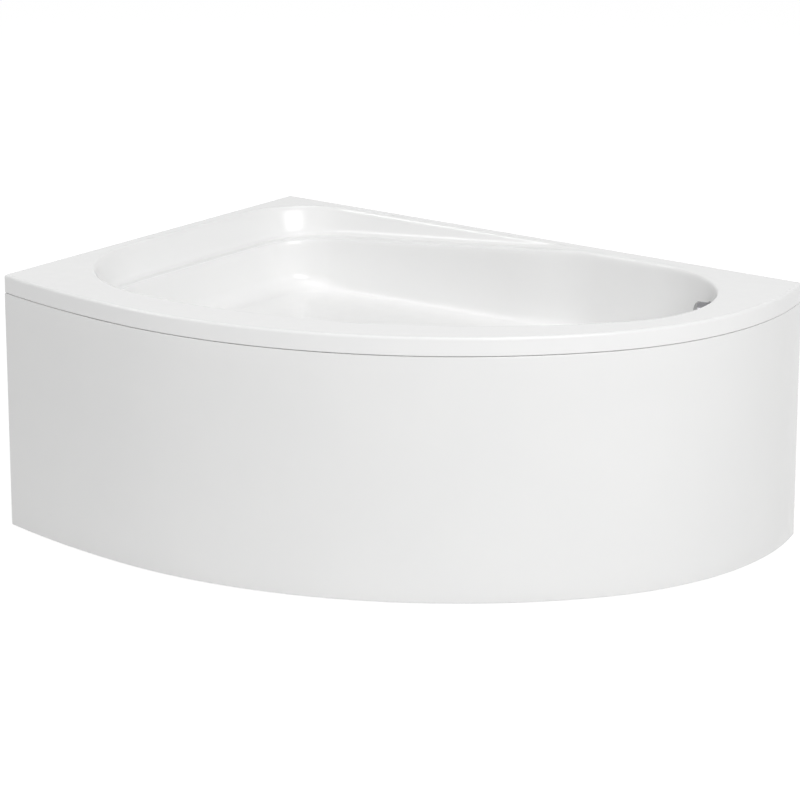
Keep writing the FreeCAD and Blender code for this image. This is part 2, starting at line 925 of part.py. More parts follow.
def panel_clips():
    """Forked clips on the front batten that hold the panel's upper flange."""
    clips = []
    back = front_batten_inset - clip_clearance
    upper = panel_top + clip_clearance
    lower = panel_top - panel_sheet - clip_clearance
    for angle in front_headings(clip_places):
        start = angle - clip_turn / 2
        end = angle + clip_turn / 2
        plate = front_strip(back - clip_sheet, back, start, end, lower - clip_sheet,
                            rim_under - batten_height / 2)
        top_arm = front_strip(clip_tongue_inset, back, start, end, upper, upper + clip_sheet)
        low_arm = front_strip(clip_tongue_inset, back, start, end, lower - clip_sheet, lower)
        clip = plate.fuse(top_arm).fuse(low_arm).removeSplitter()
        spot, inwards = clip_screw_spot(angle)
        clips.append(clip.cut(rod(spot, inwards, screw_radius, clip_sheet + clip_clearance)))
    return Part.makeCompound(clips)


def clip_screw_spot(angle):
    height = rim_under - clip_screw_drop_share * batten_height
    spot = front_point(angle, front_batten_inset - clip_clearance - clip_sheet, height)
    return spot, left_of(heading(angle))


def clip_screws():
    length = front_batten_width * clip_screw_share
    return Part.makeCompound([screw(*clip_screw_spot(angle), length)
                              for angle in front_headings(clip_places)])


def panel_toes():
    """Bent strips at the rails' front ends that hold the panel's lower flange down."""
    toes = []
    height = panel_floor_gap + panel_sheet + clip_clearance
    for x, back in rails.values():
        end = rail_front(x)
        face = max(front_y(x - toe_width / 2), front_y(x + toe_width / 2))
        reach = end - panel_sheet - clip_tongue_inset - face
        upright = box(x - toe_width / 2, end - toe_sheet, height, toe_width, toe_sheet, board_under - height)
        toe = box(x - toe_width / 2, end - reach, height, toe_width, reach, toe_sheet)
        toes.append(upright.fuse(toe).removeSplitter())
    return Part.makeCompound(toes)


# ---- Wall brackets ----


def wall_bracket():
    """Hook bracket for a wall at y = 0, centred on x = 0: a screwed plate and a hook inside the lip."""
    half = bracket_width / 2
    top = rim_height - rim_lip - bracket_clearance
    plate = box(-half, -bracket_sheet, top - bracket_drop, bracket_width, bracket_sheet, bracket_drop)
    hook_y = sheet + bracket_clearance
    arm = box(-half, -hook_y - bracket_sheet, top - bracket_sheet, bracket_width, hook_y + bracket_sheet,
              bracket_sheet)
    hook = box(-half, -hook_y - bracket_sheet, top - bracket_sheet, bracket_width, bracket_sheet,
               bracket_sheet + bracket_hook)
    bracket = plate.fuse(arm).fuse(hook).removeSplitter()
    for side in (-1, 1):
        spot = Vector(side * bracket_hole_spacing / 2, 0, top - bracket_hole_drop)
        bracket = bracket.cut(rod(spot, Vector(0, -1, 0), bracket_hole_radius, 2 * bracket_sheet))
    return bracket


def wall_brackets_long():
    brackets = []
    for x in bracket_long_wall_x:
        bracket = wall_bracket()
        bracket.translate(Vector(x, 0, 0))
        brackets.append(bracket)
    return Part.makeCompound(brackets)


def wall_brackets_short():
    brackets = []
    for y in bracket_short_wall_y:
        bracket = wall_bracket()
        bracket.rotate(Vector(0, 0, 0), UP, 90)
        bracket.translate(Vector(0, y, 0))
        brackets.append(bracket)
    return Part.makeCompound(brackets)


# ---- Waste and plug ----


body_top = laminate_under - waste_seal_thickness
body_bottom = body_top - waste_body_depth
spigot_bottom = body_bottom - waste_spigot_length
hose_inlet_height = body_top - hose_inlet_drop
plug_bottom = floor_height + flange_height + plug_rest_gap
finger_heading = overflow_heading + 90.0
stem_bottom = plug_bottom + plug_height - plug_stem_length
finger_top = stem_bottom - finger_stem_gap
finger_axis = heading(finger_heading + 90.0)


def waste_flange():
    """Plated ring in the floor with a threaded tube and the plug's guide."""
    ring = Part.makeCylinder(flange_radius, flange_height, waste_point + UP * floor_height)
    ring = ring.makeFillet(flange_height * soft_edge_share, edges_at(ring, floor_height + flange_height))
    tail = rod(waste_point + UP * (floor_height - flange_tube_length), UP, flange_tube_radius,
               flange_tube_length)
    body = ring.fuse(tail)
    bore = flange_tube_radius - flange_tube_wall
    guide_bottom = floor_height - flange_tube_length
    body = body.cut(rod(waste_point + UP * guide_bottom, UP, bore, rim_height))
    guide = Part.makeCylinder(plug_hub_radius, plug_hub_height, waste_point + UP * guide_bottom)
    for i in range(3):
        arm = box(0, -flange_tube_wall / 2, guide_bottom, bore + flange_tube_wall / 2, flange_tube_wall,
                  plug_hub_height)
        arm.rotate(Vector(0, 0, 0), UP, 120 * i + finger_heading + 60)
        arm.translate(waste_point)
        guide = guide.fuse(arm)
    guide = guide.cut(rod(waste_point + UP * guide_bottom, UP, plug_stem_radius + running_gap,
                          plug_hub_height))
    return body.fuse(guide).removeSplitter()


def waste_seal():
    return tube(waste_point + UP * body_top, UP, seal_radius, flange_tube_radius + running_gap,
                waste_seal_thickness)


def waste_body():
    """Moulded cup under the floor with the overflow inlet, the finger's pin and a trap spigot."""
    bore = waste_body_radius - waste_body_wall
    body = rod(waste_point + UP * body_bottom, UP, waste_body_radius, waste_body_depth)
    body = body.fuse(rod(waste_point + UP * (body_top - waste_body_flange_height), UP,
                         waste_body_flange_radius, waste_body_flange_height))
    inlet = waste_point + UP * hose_inlet_height
    body = body.fuse(rod(inlet, hose_line, hose_radius, waste_body_radius + waste_inlet_length))
    body = body.fuse(rod(waste_point + UP * spigot_bottom, UP, waste_spigot_radius, waste_spigot_length))
    gland = cable_entry()
    body = body.fuse(rod(gland - heading(finger_heading) * waste_body_wall, heading(finger_heading),
                         cable_gland_radius, cable_gland_length + waste_body_wall))
    chamber = waste_body_depth - waste_body_wall - waste_body_flange_height
    body = body.cut(rod(waste_point + UP * (body_bottom + waste_body_wall), UP, bore, chamber))
    body = body.cut(rod(waste_point + UP * body_bottom, UP, flange_tube_radius + running_gap,
                        waste_body_depth).cut(rod(waste_point, UP, waste_body_radius,
                                                  body_bottom + waste_body_wall)))
    body = body.cut(rod(waste_point + UP * spigot_bottom, UP, waste_spigot_radius - waste_body_wall,
                        waste_body_depth / 2))
    body = body.cut(rod(inlet, hose_line, hose_bore, waste_body_radius + waste_inlet_length))
    body = body.cut(rod(gland - heading(finger_heading) * waste_body_radius, heading(finger_heading),
                        cable_wire_radius, 2 * waste_body_radius))
    half = math.sqrt((waste_body_radius - waste_body_wall / 2) ** 2 - finger_reach ** 2)
    pin = finger_pivot() - finger_axis * half
    return body.fuse(rod(pin, finger_axis, finger_pin_radius, 2 * half)).removeSplitter()


def finger_pivot():
    """Middle of the pin that the lifting finger turns on."""
    drop = finger_top - finger_height / 2
    return waste_point + heading(finger_heading) * finger_reach + UP * drop


def cable_entry():
    """Where the control cable's gland leaves the cup."""
    return waste_point + heading(finger_heading) * waste_body_radius + UP * (body_top - cable_drop)


def lift_finger():
    """Rocker on the pin: one arm reaches under the plug's stem, the cable pulls the other down."""
    pivot = finger_pivot()
    half = finger_width / 2
    eye = rod(pivot - finger_axis * half, finger_axis, finger_eye_radius, finger_width)
    bar = Part.makeBox(2 * finger_reach, finger_width, finger_height,
                       Vector(-finger_reach, -half, -finger_height / 2))
    bar.rotate(Vector(0, 0, 0), UP, finger_heading + 180.0)
    bar.translate(pivot)
    finger = eye.fuse(bar)
    hole = rod(pivot - finger_axis * finger_width, finger_axis, finger_pin_radius + running_gap,
               2 * finger_width)
    return finger.cut(hole).removeSplitter()


def waste_plug():
    """Plated disc with a low crown."""
    disc = Part.makeCylinder(plug_radius, plug_height, waste_point + UP * plug_bottom)
    return disc.makeFillet(plug_height * soft_edge_share, edges_at(disc, plug_bottom + plug_height))


def plug_seal():
    outer = flange_tube_radius - flange_tube_wall - plug_seal_clearance
    return tube(waste_point + UP * (plug_bottom - plug_seal_height), UP, outer, plug_hub_radius,
                plug_seal_height)


def plug_stem():
    """Stem with a collar that carries the seal."""
    stem = rod(waste_point + UP * stem_bottom, UP, plug_stem_radius, plug_bottom - stem_bottom)
    collar = rod(waste_point + UP * (plug_bottom - plug_seal_height), UP, plug_hub_radius, plug_seal_height)
    return stem.fuse(collar).removeSplitter()


# ---- Trap ----


trap_top = spigot_bottom - trap_top_gap
neck_bottom = trap_top - trap_nut_height / 2
trap_bottom = neck_bottom - trap_body_height - trap_cap_height
outlet_height = trap_bottom + trap_cap_height + outlet_radius


def trap_seal():
    return tube(waste_point + UP * trap_top, UP, waste_spigot_radius, waste_spigot_radius - waste_body_wall,
                trap_top_gap)


def trap_nut():
    return round_nut(waste_point + UP * (trap_top + trap_top_gap / 2 - trap_nut_height / 2 + trap_top_gap),
                     UP, trap_nut_radius, waste_spigot_radius + running_gap, trap_nut_height)


def trap_body():
    """Low bottle trap with a socket towards the long wall and an open foot for the cap."""
    body = rod(waste_point + UP * (trap_bottom + trap_cap_height), UP, trap_radius, trap_body_height)
    body = body.fuse(rod(waste_point + UP * neck_bottom, UP, waste_spigot_radius, trap_top - neck_bottom))
    out = waste_point + UP * outlet_height
    socket = trap_radius + trap_socket_length
    body = body.fuse(rod(out, Vector(0, 1, 0), outlet_radius, socket))
    body = body.cut(rod(waste_point + UP * trap_bottom, UP, trap_radius - trap_wall,
                        neck_bottom - trap_bottom - trap_wall))
    body = body.cut(rod(waste_point + UP * trap_bottom, UP, waste_spigot_radius - waste_body_wall,
                        rim_height))
    body = body.cut(rod(out, Vector(0, 1, 0), outlet_radius - trap_wall, socket))
    return body.removeSplitter()


def trap_cap():
    """Cleaning cap pushed against the trap's foot."""
    cap = rod(waste_point + UP * trap_bottom, UP, trap_radius, trap_cap_height)
    for side in (-1, 1):
        flat = waste_point + Vector(side * trap_radius, 0, trap_bottom)
        cap = cap.cut(rod(flat, UP, trap_wall, trap_cap_height))
    return cap


outlet_start = waste_point + Vector(0, trap_radius + trap_socket_length, outlet_height)


def outlet_pipe():
    """Pipe towards the long wall. Its free end is a plain spigot up to a moulded stop ring."""
    stop = outlet_start + Vector(0, outlet_pipe_length - outlet_spigot_length - outlet_stop_width, 0)
    pipe = tube(outlet_start, Vector(0, 1, 0), outlet_radius, outlet_radius - outlet_wall,
                outlet_pipe_length)
    ring = tube(stop, Vector(0, 1, 0), outlet_stop_radius, outlet_radius - outlet_wall, outlet_stop_width)
    return pipe.fuse(ring).removeSplitter()


def outlet_nut():
    start = outlet_start - Vector(0, outlet_nut_length / 2, 0)
    return round_nut(start, Vector(0, 1, 0), outlet_nut_radius, outlet_radius + running_gap,
                     outlet_nut_length)


# ---- Overflow and plug control ----


back_face = -sheet - overflow_seal_gap
body_face = back_face - overflow_seal_thickness
cup_back = body_face - overflow_body_depth
plate_front = overflow_plate_stand + overflow_plate_thickness
knob_back = plate_front + knob_gap
knob_front = knob_back + knob_length
spigot_point = overflow_point + overflow_axis * (body_face - overflow_body_depth * hose_spigot_share)


def overflow_plate():
    """Plated ring against the wall with a threaded tube through it."""
    ring = Part.makeCylinder(overflow_plate_radius, overflow_plate_thickness,
                             Vector(0, 0, overflow_plate_stand))
    ring = ring.makeFillet(overflow_plate_thickness * soft_edge_share, edges_at(ring, plate_front))
    tail = Part.makeCylinder(overflow_tube_radius, overflow_tube_length + overflow_plate_stand,
                             Vector(0, 0, -overflow_tube_length))
    whole = ring.fuse(tail).cut(Part.makeCylinder(overflow_tube_bore, 2 * overflow_tube_length,
                                                  Vector(0, 0, -overflow_tube_length)))
    return at_overflow(whole.removeSplitter())


def overflow_seal():
    return at_overflow(tube(Vector(0, 0, body_face), UP, overflow_plate_radius,
                            overflow_tube_radius + running_gap, overflow_seal_thickness))


hose_line = unit(Vector(spigot_point.x - waste_x, spigot_point.y - waste_y, 0))


def spigot_end():
    return Vector(spigot_point.x, spigot_point.y, spigot_point.z - hose_spigot_length)


def cable_exit():
    """Where the control cable leaves the overflow body, beside the hose."""
    side = left_of(heading(overflow_heading))
    drop = spigot_point.z - hose_spigot_length * cable_exit_share
    return Vector(spigot_point.x, spigot_point.y, drop) + side * cable_side_offset


def overflow_body():
    """Moulded cup behind the wall with a hose spigot, a cable gland and the spindle's bearing."""
    cup = Part.makeCylinder(overflow_body_radius, overflow_body_depth, Vector(0, 0, cup_back))
    cup = cup.fuse(Part.makeCylinder(overflow_body_flange_radius, overflow_body_flange_thickness,
                                     Vector(0, 0, body_face - overflow_body_flange_thickness)))
    cup = at_overflow(cup)
    drop = Vector(0, 0, -1)
    cup = cup.fuse(rod(spigot_point, drop, hose_radius, hose_spigot_length))
    gland = cable_exit()
    top = spigot_point.z - cable_gland_rise
    cup = cup.fuse(rod(Vector(gland.x, gland.y, top), drop, cable_gland_radius, top - gland.z))
    bore = overflow_body_radius - overflow_body_wall
    inner_depth = overflow_body_depth - overflow_body_wall - overflow_body_flange_thickness
    inner_back = Vector(0, 0, cup_back + overflow_body_wall)
    cup = cup.cut(at_overflow(Part.makeCylinder(bore, inner_depth, inner_back)))
    cup = cup.cut(at_overflow(Part.makeCylinder(overflow_tube_radius + running_gap, overflow_body_depth / 2,
                                                Vector(0, 0, body_face - overflow_body_depth / 2))))
    cup = cup.cut(rod(spigot_point, drop, hose_bore, hose_spigot_length))
    hub = Part.makeCylinder(spindle_hub_radius, spindle_hub_length,
                            Vector(0, 0, cup_back + overflow_body_wall / 2))
    cup = cup.fuse(at_overflow(hub))
    bearing = Part.makeCylinder(spindle_radius + running_gap, spindle_hub_length + overflow_body_wall,
                                Vector(0, 0, cup_back + overflow_body_wall))
    return cup.cut(at_overflow(bearing)).removeSplitter()


def control_spindle():
    """Spindle from the knob to its bearing, with the disc that pulls the cable."""
    start = cup_back + overflow_body_wall + running_gap
    spindle = Part.makeCylinder(spindle_radius, knob_front - knob_wall - start, Vector(0, 0, start))
    disc_start = cup_back + overflow_body_wall / 2 + spindle_hub_length + running_gap
    disc = Part.makeCylinder(spindle_cam_radius, spindle_cam_thickness, Vector(0, 0, disc_start))
    return at_overflow(spindle.fuse(disc).removeSplitter())


def overflow_knob():
    """Plated cup-shaped knob with a bevelled face and grip flats."""
    knob = Part.makeCylinder(knob_radius, knob_length, Vector(0, 0, knob_back))
    knob = knob.makeChamfer(knob_bevel, edges_at(knob, knob_front))
    inside = Part.makeCylinder(knob_radius - knob_wall, knob_length - knob_wall, Vector(0, 0, knob_back))
    knob = knob.cut(inside.makeChamfer(knob_inner_bevel, edges_at(inside, knob_front - knob_wall)))
    hub = Part.makeCylinder(knob_hub_radius, knob_length - knob_wall / 2, Vector(0, 0, knob_back))
    knob = knob.fuse(hub)
    knob = knob.cut(Part.makeCylinder(spindle_radius + running_gap, knob_length - knob_wall,
                                      Vector(0, 0, knob_back)))
    return at_overflow(knob.removeSplitter())


def hose_end():
    reach = waste_body_radius + waste_inlet_length
    return waste_point + hose_line * reach + UP * hose_inlet_height


def overflow_hose():
    """Hose from the overflow down the outside of the basin and in to the waste."""
    start = spigot_end()
    end = hose_end()
    points = [start, Vector(start.x, start.y, end.z), end]
    return bent_rod(points, hose_radius).cut(bent_rod(points, hose_bore))


def hose_nuts():
    """Union nuts over the hose's two ends."""
    half = hose_nut_length / 2
    bore = hose_radius + 2 * running_gap
    upper = round_nut(spigot_end() + UP * half, Vector(0, 0, -1), hose_nut_radius, bore, hose_nut_length)
    lower = round_nut(hose_end() - hose_line * half, hose_line, hose_nut_radius, bore, hose_nut_length)
    return Part.makeCompound([upper, lower])


def control_cable():
    """Sheathed cable from the overflow body round the basin to the waste body's gland."""
    start = cable_exit()
    towards = heading(overflow_heading)
    out = heading(finger_heading)
    end = cable_entry() + out * cable_gland_length
    foot = Vector(start.x, start.y, end.z)
    points = [start, foot + UP * cable_first_bend_rise, foot - towards * cable_second_bend_reach]
    for ahead, aside in cable_bends:
        points.append(waste_point + towards * ahead + out * aside + UP * end.z)
    return bent_rod(points + [end], cable_radius)


# ---- Write the pieces ----


frame_shift = Vector(-front_reach / 2, front_depth / 2, 0)


def save(name, shape):
    placed = shape.copy()
    placed.translate(frame_shift)
    placed.exportStep(os.path.join("parts", name + ".step"))
    print(name, len(placed.Solids), "valid" if placed.isValid() else "NOT VALID", round(placed.Volume))


def build_all():
    os.makedirs("parts", exist_ok=True)
    print("shift", frame_shift, "overflow", overflow_point, overflow_axis)
    save("bath_shell", bath_shell())
    save("glass_fibre_backing", glass_fibre_backing())
    save("base_board", base_board())
    save("wall_batten_long", wall_batten_long())
    save("wall_batten_short", wall_batten_short())
    save("front_batten", front_batten())
    for name in rails:
        save("frame_rail_" + name, frame_rail(name))
    save("frame_ties_front", frame_ties(front_tie_y))
    save("frame_ties_back", frame_ties(back_tie_y))
    save("seat_post", seat_post())
    save("board_screws", board_screws())
    save("rail_nuts", rail_nuts())
    save("lock_nuts", lock_nuts())
    for number, point in enumerate(foot_points(), 1):
        save("foot_stud_%d" % number, foot_stud(point))
        save("foot_pad_%d" % number, foot_pad(point))
    save("apron_panel", apron_panel())
    save("panel_stiffeners", panel_stiffeners())
    save("panel_clips", panel_clips())
    save("clip_screws", clip_screws())
    save("panel_toes", panel_toes())
    save("wall_brackets_long", wall_brackets_long())
    save("wall_brackets_short", wall_brackets_short())
    save("waste_flange", waste_flange())
    save("waste_seal", waste_seal())
    save("waste_body", waste_body())
    save("lift_finger", lift_finger())
    save("waste_plug", waste_plug())
    save("plug_seal", plug_seal())
    save("plug_stem", plug_stem())
    save("trap_seal", trap_seal())
    save("trap_nut", trap_nut())
    save("trap_body", trap_body())
    save("trap_cap", trap_cap())
    save("outlet_pipe", outlet_pipe())
    save("outlet_nut", outlet_nut())
    save("overflow_plate", overflow_plate())
    save("overflow_seal", overflow_seal())
    save("overflow_body", overflow_body())
    save("control_spindle", control_spindle())
    save("overflow_knob", overflow_knob())
    save("overflow_hose", overflow_hose())
    save("hose_nuts", hose_nuts())
    save("control_cable", control_cable())


build_all()
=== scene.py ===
import cmath
import math

import bmesh
import bpy
import numpy as np
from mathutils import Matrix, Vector


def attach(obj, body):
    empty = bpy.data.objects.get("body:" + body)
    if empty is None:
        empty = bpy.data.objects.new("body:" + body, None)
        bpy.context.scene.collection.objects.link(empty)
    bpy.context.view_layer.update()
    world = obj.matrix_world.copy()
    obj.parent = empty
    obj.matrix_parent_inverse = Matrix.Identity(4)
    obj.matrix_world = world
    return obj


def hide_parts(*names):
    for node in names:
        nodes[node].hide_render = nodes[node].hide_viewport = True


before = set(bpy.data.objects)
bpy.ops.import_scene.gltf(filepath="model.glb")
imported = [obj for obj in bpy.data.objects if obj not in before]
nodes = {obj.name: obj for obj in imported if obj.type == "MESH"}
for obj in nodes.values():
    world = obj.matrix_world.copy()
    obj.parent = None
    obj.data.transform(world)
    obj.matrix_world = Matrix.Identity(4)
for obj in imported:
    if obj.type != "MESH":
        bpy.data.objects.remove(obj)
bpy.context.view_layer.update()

# ---- Camera, lamps and floor ----
# The bath stands on a plain white floor. The camera is far back and looks down a little, so the
# uprights stay nearly parallel. Of the three soft lamps, the small one at the left draws the
# bright lines along the folds.
camera_data = bpy.data.cameras.new("camera")
camera_data.lens = 155.9
camera_data.sensor_width = 36.0
camera_data.clip_end = 60.0
camera = bpy.data.objects.new("camera", camera_data)
camera.location = (4.514, -5.941, 2.456)
camera.rotation_euler = (math.radians(74.01), 0.0, math.radians(37.22))
bpy.context.scene.collection.objects.link(camera)
bpy.context.scene.camera = camera
bpy.context.scene.view_settings.view_transform = "Standard"

lamp_aim = Vector((0.0, 0.0, 0.4))


def soft_lamp(name, place, side, power):
    """A square lamp of that side, turned to the bath."""
    lamp_data = bpy.data.lights.new(name, "AREA")
    lamp_data.shape = "RECTANGLE"
    lamp_data.size = side
    lamp_data.size_y = side
    lamp_data.energy = power
    lamp = bpy.data.objects.new(name, lamp_data)
    lamp.location = place
    lamp.rotation_euler = (lamp_aim - Vector(place)).to_track_quat("-Z", "Y").to_euler()
    bpy.context.scene.collection.objects.link(lamp)


soft_lamp("lamp_right", place=(5.68, -3.28, 4.99), side=4.0, power=298.0)
soft_lamp("lamp_left", place=(-4.90, -2.83, 6.06), side=2.0, power=80.0)
soft_lamp("lamp_above", place=(0.28, 0.0, 8.40), side=4.0, power=108.0)


def seen_directly(tree):
    """1 on rays from the camera, off gloss and through glass, which see the studio as white."""
    rays = tree.nodes.new("ShaderNodeLightPath")
    seen = rays.outputs["Is Camera Ray"]
    for kind in ("Is Glossy Ray", "Is Transmission Ray"):
        either = tree.nodes.new("ShaderNodeMath")
        either.operation = "MAXIMUM"
        tree.links.new(seen, either.inputs[0])
        tree.links.new(rays.outputs[kind], either.inputs[1])
        seen = either.outputs[0]
    return seen


world = bpy.data.worlds.new("studio")
bpy.context.scene.world = world
world.use_nodes = True
sky = world.node_tree
sky.nodes.clear()
sky_strength = sky.nodes.new("ShaderNodeMapRange")
sky_strength.inputs["To Min"].default_value = 0.30
sky_strength.inputs["To Max"].default_value = 1.0
sky_light = sky.nodes.new("ShaderNodeBackground")
sky_light.inputs["Color"].default_value = (1.0, 1.0, 1.0, 1.0)
sky_output = sky.nodes.new("ShaderNodeOutputWorld")
sky.links.new(seen_directly(sky), sky_strength.inputs["Value"])
sky.links.new(sky_strength.outputs["Result"], sky_light.inputs["Strength"])
sky.links.new(sky_light.outputs["Background"], sky_output.inputs["Surface"])

bpy.ops.object.select_all(action="DESELECT")
bpy.ops.mesh.primitive_plane_add(size=40.0)
floor = bpy.context.object
floor.name = "floor"
floor_material = bpy.data.materials.new("white_floor")
floor_material.use_nodes = True
floor_tree = floor_material.node_tree
floor_paint = floor_tree.nodes["Principled BSDF"]
floor_paint.inputs["Base Color"].default_value = (0.9, 0.9, 0.9, 1.0)
floor_paint.inputs["Roughness"].default_value = 0.9
floor_paint.inputs["Specular IOR Level"].default_value = 0.0
floor_shade = floor_tree.nodes.new("ShaderNodeBsdfDiffuse")
floor_shade.inputs["Color"].default_value = (0.3, 0.3, 0.3, 1.0)
floor_glow = floor_tree.nodes.new("ShaderNodeEmission")
floor_glow.inputs["Strength"].default_value = 0.87
floor_white = floor_tree.nodes.new("ShaderNodeAddShader")
floor_mix = floor_tree.nodes.new("ShaderNodeMixShader")
floor_end = floor_tree.nodes["Material Output"]
floor_tree.links.new(seen_directly(floor_tree), floor_mix.inputs["Fac"])
floor_tree.links.new(floor_shade.outputs["BSDF"], floor_white.inputs[0])
floor_tree.links.new(floor_glow.outputs["Emission"], floor_white.inputs[1])
floor_tree.links.new(floor_paint.outputs["BSDF"], floor_mix.inputs[1])
floor_tree.links.new(floor_white.outputs["Shader"], floor_mix.inputs[2])
floor_tree.links.new(floor_mix.outputs["Shader"], floor_end.inputs["Surface"])
floor.data.materials.append(floor_material)


# ---- Levelling feet ----
# Six moulded black pads turn on zinc-plated studs. The studs screw through nuts pressed into the
# rails, and a thin nut under each rail locks the height.


def shared_effect(name, takes, gives):
    """A shader node group with named inputs and outputs, and the nodes at its two ends."""
    group = bpy.data.node_groups.new(name, "ShaderNodeTree")
    for way, sockets in (("INPUT", takes), ("OUTPUT", gives)):
        for label, kind in sockets.items():
            group.interface.new_socket(name=label, in_out=way, socket_type="NodeSocket" + kind)
    return group, group.nodes.new("NodeGroupInput"), group.nodes.new("NodeGroupOutput")


def spread(tree, value):
    """Stretch the middle of a noise, which seldom leaves it, to run from 0 to 1 or as set."""
    wide = tree.nodes.new("ShaderNodeMapRange")
    wide.inputs["From Min"].default_value = 0.35
    wide.inputs["From Max"].default_value = 0.65
    tree.links.new(value, wide.inputs["Value"])
    return wide


def clouded_surface():
    """Two close tones in soft clouds, with fine grit in the gloss and the height."""
    group, enter, leave = shared_effect(
        "clouded_surface",
        {"Light": "Color", "Dark": "Color", "Cloud Scale": "Float", "Grit Scale": "Float",
         "Smoothest": "Float", "Roughest": "Float"},
        {"Color": "Color", "Roughness": "Float", "Height": "Float"})
    place = group.nodes.new("ShaderNodeTexCoord")
    clouds = group.nodes.new("ShaderNodeTexNoise")
    clouds.inputs["Detail"].default_value = 4.0
    grit = group.nodes.new("ShaderNodeTexNoise")
    grit.inputs["Detail"].default_value = 3.0
    tone = group.nodes.new("ShaderNodeMix")
    tone.data_type = "RGBA"
    gloss = spread(group, grit.outputs["Fac"])
    links = group.links
    links.new(place.outputs["Object"], clouds.inputs["Vector"])
    links.new(place.outputs["Object"], grit.inputs["Vector"])
    links.new(enter.outputs["Cloud Scale"], clouds.inputs["Scale"])
    links.new(enter.outputs["Grit Scale"], grit.inputs["Scale"])
    links.new(spread(group, clouds.outputs["Fac"]).outputs["Result"], tone.inputs["Factor"])
    links.new(enter.outputs["Light"], tone.inputs["A"])
    links.new(enter.outputs["Dark"], tone.inputs["B"])
    links.new(enter.outputs["Smoothest"], gloss.inputs["To Min"])
    links.new(enter.outputs["Roughest"], gloss.inputs["To Max"])
    links.new(tone.outputs["Result"], leave.inputs["Color"])
    links.new(gloss.outputs["Result"], leave.inputs["Roughness"])
    links.new(grit.outputs["Fac"], leave.inputs["Height"])
    return group


surface_group = clouded_surface()


def finish(name, light, dark, gloss, clouds, grit, relief, metal=0.0):
    """Material with the shared surface: two tones, a gloss range, scales per metre and relief."""
    material = bpy.data.materials.new(name)
    material.use_nodes = True
    tree = material.node_tree
    shader = tree.nodes["Principled BSDF"]
    shader.inputs["Metallic"].default_value = metal
    look = tree.nodes.new("ShaderNodeGroup")
    look.name = "surface"
    look.node_tree = surface_group
    look.inputs["Light"].default_value = (*light, 1.0)
    look.inputs["Dark"].default_value = (*dark, 1.0)
    look.inputs["Cloud Scale"].default_value = clouds
    look.inputs["Grit Scale"].default_value = grit
    look.inputs["Smoothest"].default_value, look.inputs["Roughest"].default_value = gloss
    bump = tree.nodes.new("ShaderNodeBump")
    bump.inputs["Strength"].default_value = 1.0
    bump.inputs["Distance"].default_value = relief
    tree.links.new(look.outputs["Color"], shader.inputs["Base Color"])
    tree.links.new(look.outputs["Roughness"], shader.inputs["Roughness"])
    tree.links.new(look.outputs["Height"], bump.inputs["Height"])
    tree.links.new(bump.outputs["Normal"], shader.inputs["Normal"])
    return material


def dress(material, *names):
    """Give CAD pieces a finish, through their own material slots."""
    for name in names:
        nodes[name].material_slots[0].material = material


feet = range(1, 7)
black_plastic = finish("black_plastic", light=(0.030, 0.030, 0.032), dark=(0.022, 0.022, 0.024),
                       gloss=(0.42, 0.58), clouds=30.0, grit=900.0, relief=0.00006)
zinc_steel = finish("zinc_steel", light=(0.74, 0.73, 0.69), dark=(0.62, 0.62, 0.60),
                    gloss=(0.22, 0.40), clouds=60.0, grit=700.0, relief=0.00002, metal=1.0)
dress(black_plastic, *["foot_pad_%d" % i for i in feet])
dress(zinc_steel, "rail_nuts", "lock_nuts", *["foot_stud_%d" % i for i in feet])


# ---- Steel underframe ----
# Three square tubes run from the long wall to the front, joined by two ties, and a post carries
# the corner seat. All are hot-dip galvanised, so the zinc shows its frost-like crystals.


def multiplied(tree, color, shade):
    """A colour darkened by a shade."""
    tone = tree.nodes.new("ShaderNodeMix")
    tone.data_type = "RGBA"
    tone.blend_type = "MULTIPLY"
    tone.inputs["Factor"].default_value = 1.0
    tree.links.new(color, tone.inputs["A"])
    tree.links.new(shade, tone.inputs["B"])
    return tone.outputs["Result"]


def random_patches():
    """Small many-sided patches, such as zinc crystals or wood chips, each of its own tone."""
    group, enter, leave = shared_effect(
        "random_patches",
        {"Color": "Color", "Patch Scale": "Float", "Darkest": "Float", "Lightest": "Float"},
        {"Color": "Color"})
    place = group.nodes.new("ShaderNodeTexCoord")
    patches = group.nodes.new("ShaderNodeTexVoronoi")
    shade = group.nodes.new("ShaderNodeMapRange")
    links = group.links
    links.new(place.outputs["Object"], patches.inputs["Vector"])
    links.new(enter.outputs["Patch Scale"], patches.inputs["Scale"])
    links.new(patches.outputs["Color"], shade.inputs["Value"])
    links.new(enter.outputs["Darkest"], shade.inputs["To Min"])
    links.new(enter.outputs["Lightest"], shade.inputs["To Max"])
    patched = multiplied(group, enter.outputs["Color"], shade.outputs["Result"])
    links.new(patched, leave.inputs["Color"])
    return group


patch_group = random_patches()


def overlay(material, effect, values):
    """Lay a shared effect over a finish, between its colour and its shader."""
    tree = material.node_tree
    layer = tree.nodes.new("ShaderNodeGroup")
    layer.node_tree = effect
    for label, value in values.items():
        layer.inputs[label].default_value = value
    shader = tree.nodes["Principled BSDF"]
    tree.links.new(tree.nodes["surface"].outputs["Color"], layer.inputs["Color"])
    tree.links.new(layer.outputs["Color"], shader.inputs["Base Color"])


galvanised = finish("galvanised_steel", light=(0.66, 0.68, 0.70), dark=(0.50, 0.52, 0.55),
                    gloss=(0.34, 0.52), clouds=14.0, grit=260.0, relief=0.00003, metal=1.0)
overlay(galvanised, patch_group, {"Patch Scale": 110.0, "Darkest": 0.72, "Lightest": 1.0})
dress(galvanised, "frame_rail_left", "frame_rail_middle", "frame_rail_right", "frame_ties_front",
      "frame_ties_back", "seat_post")


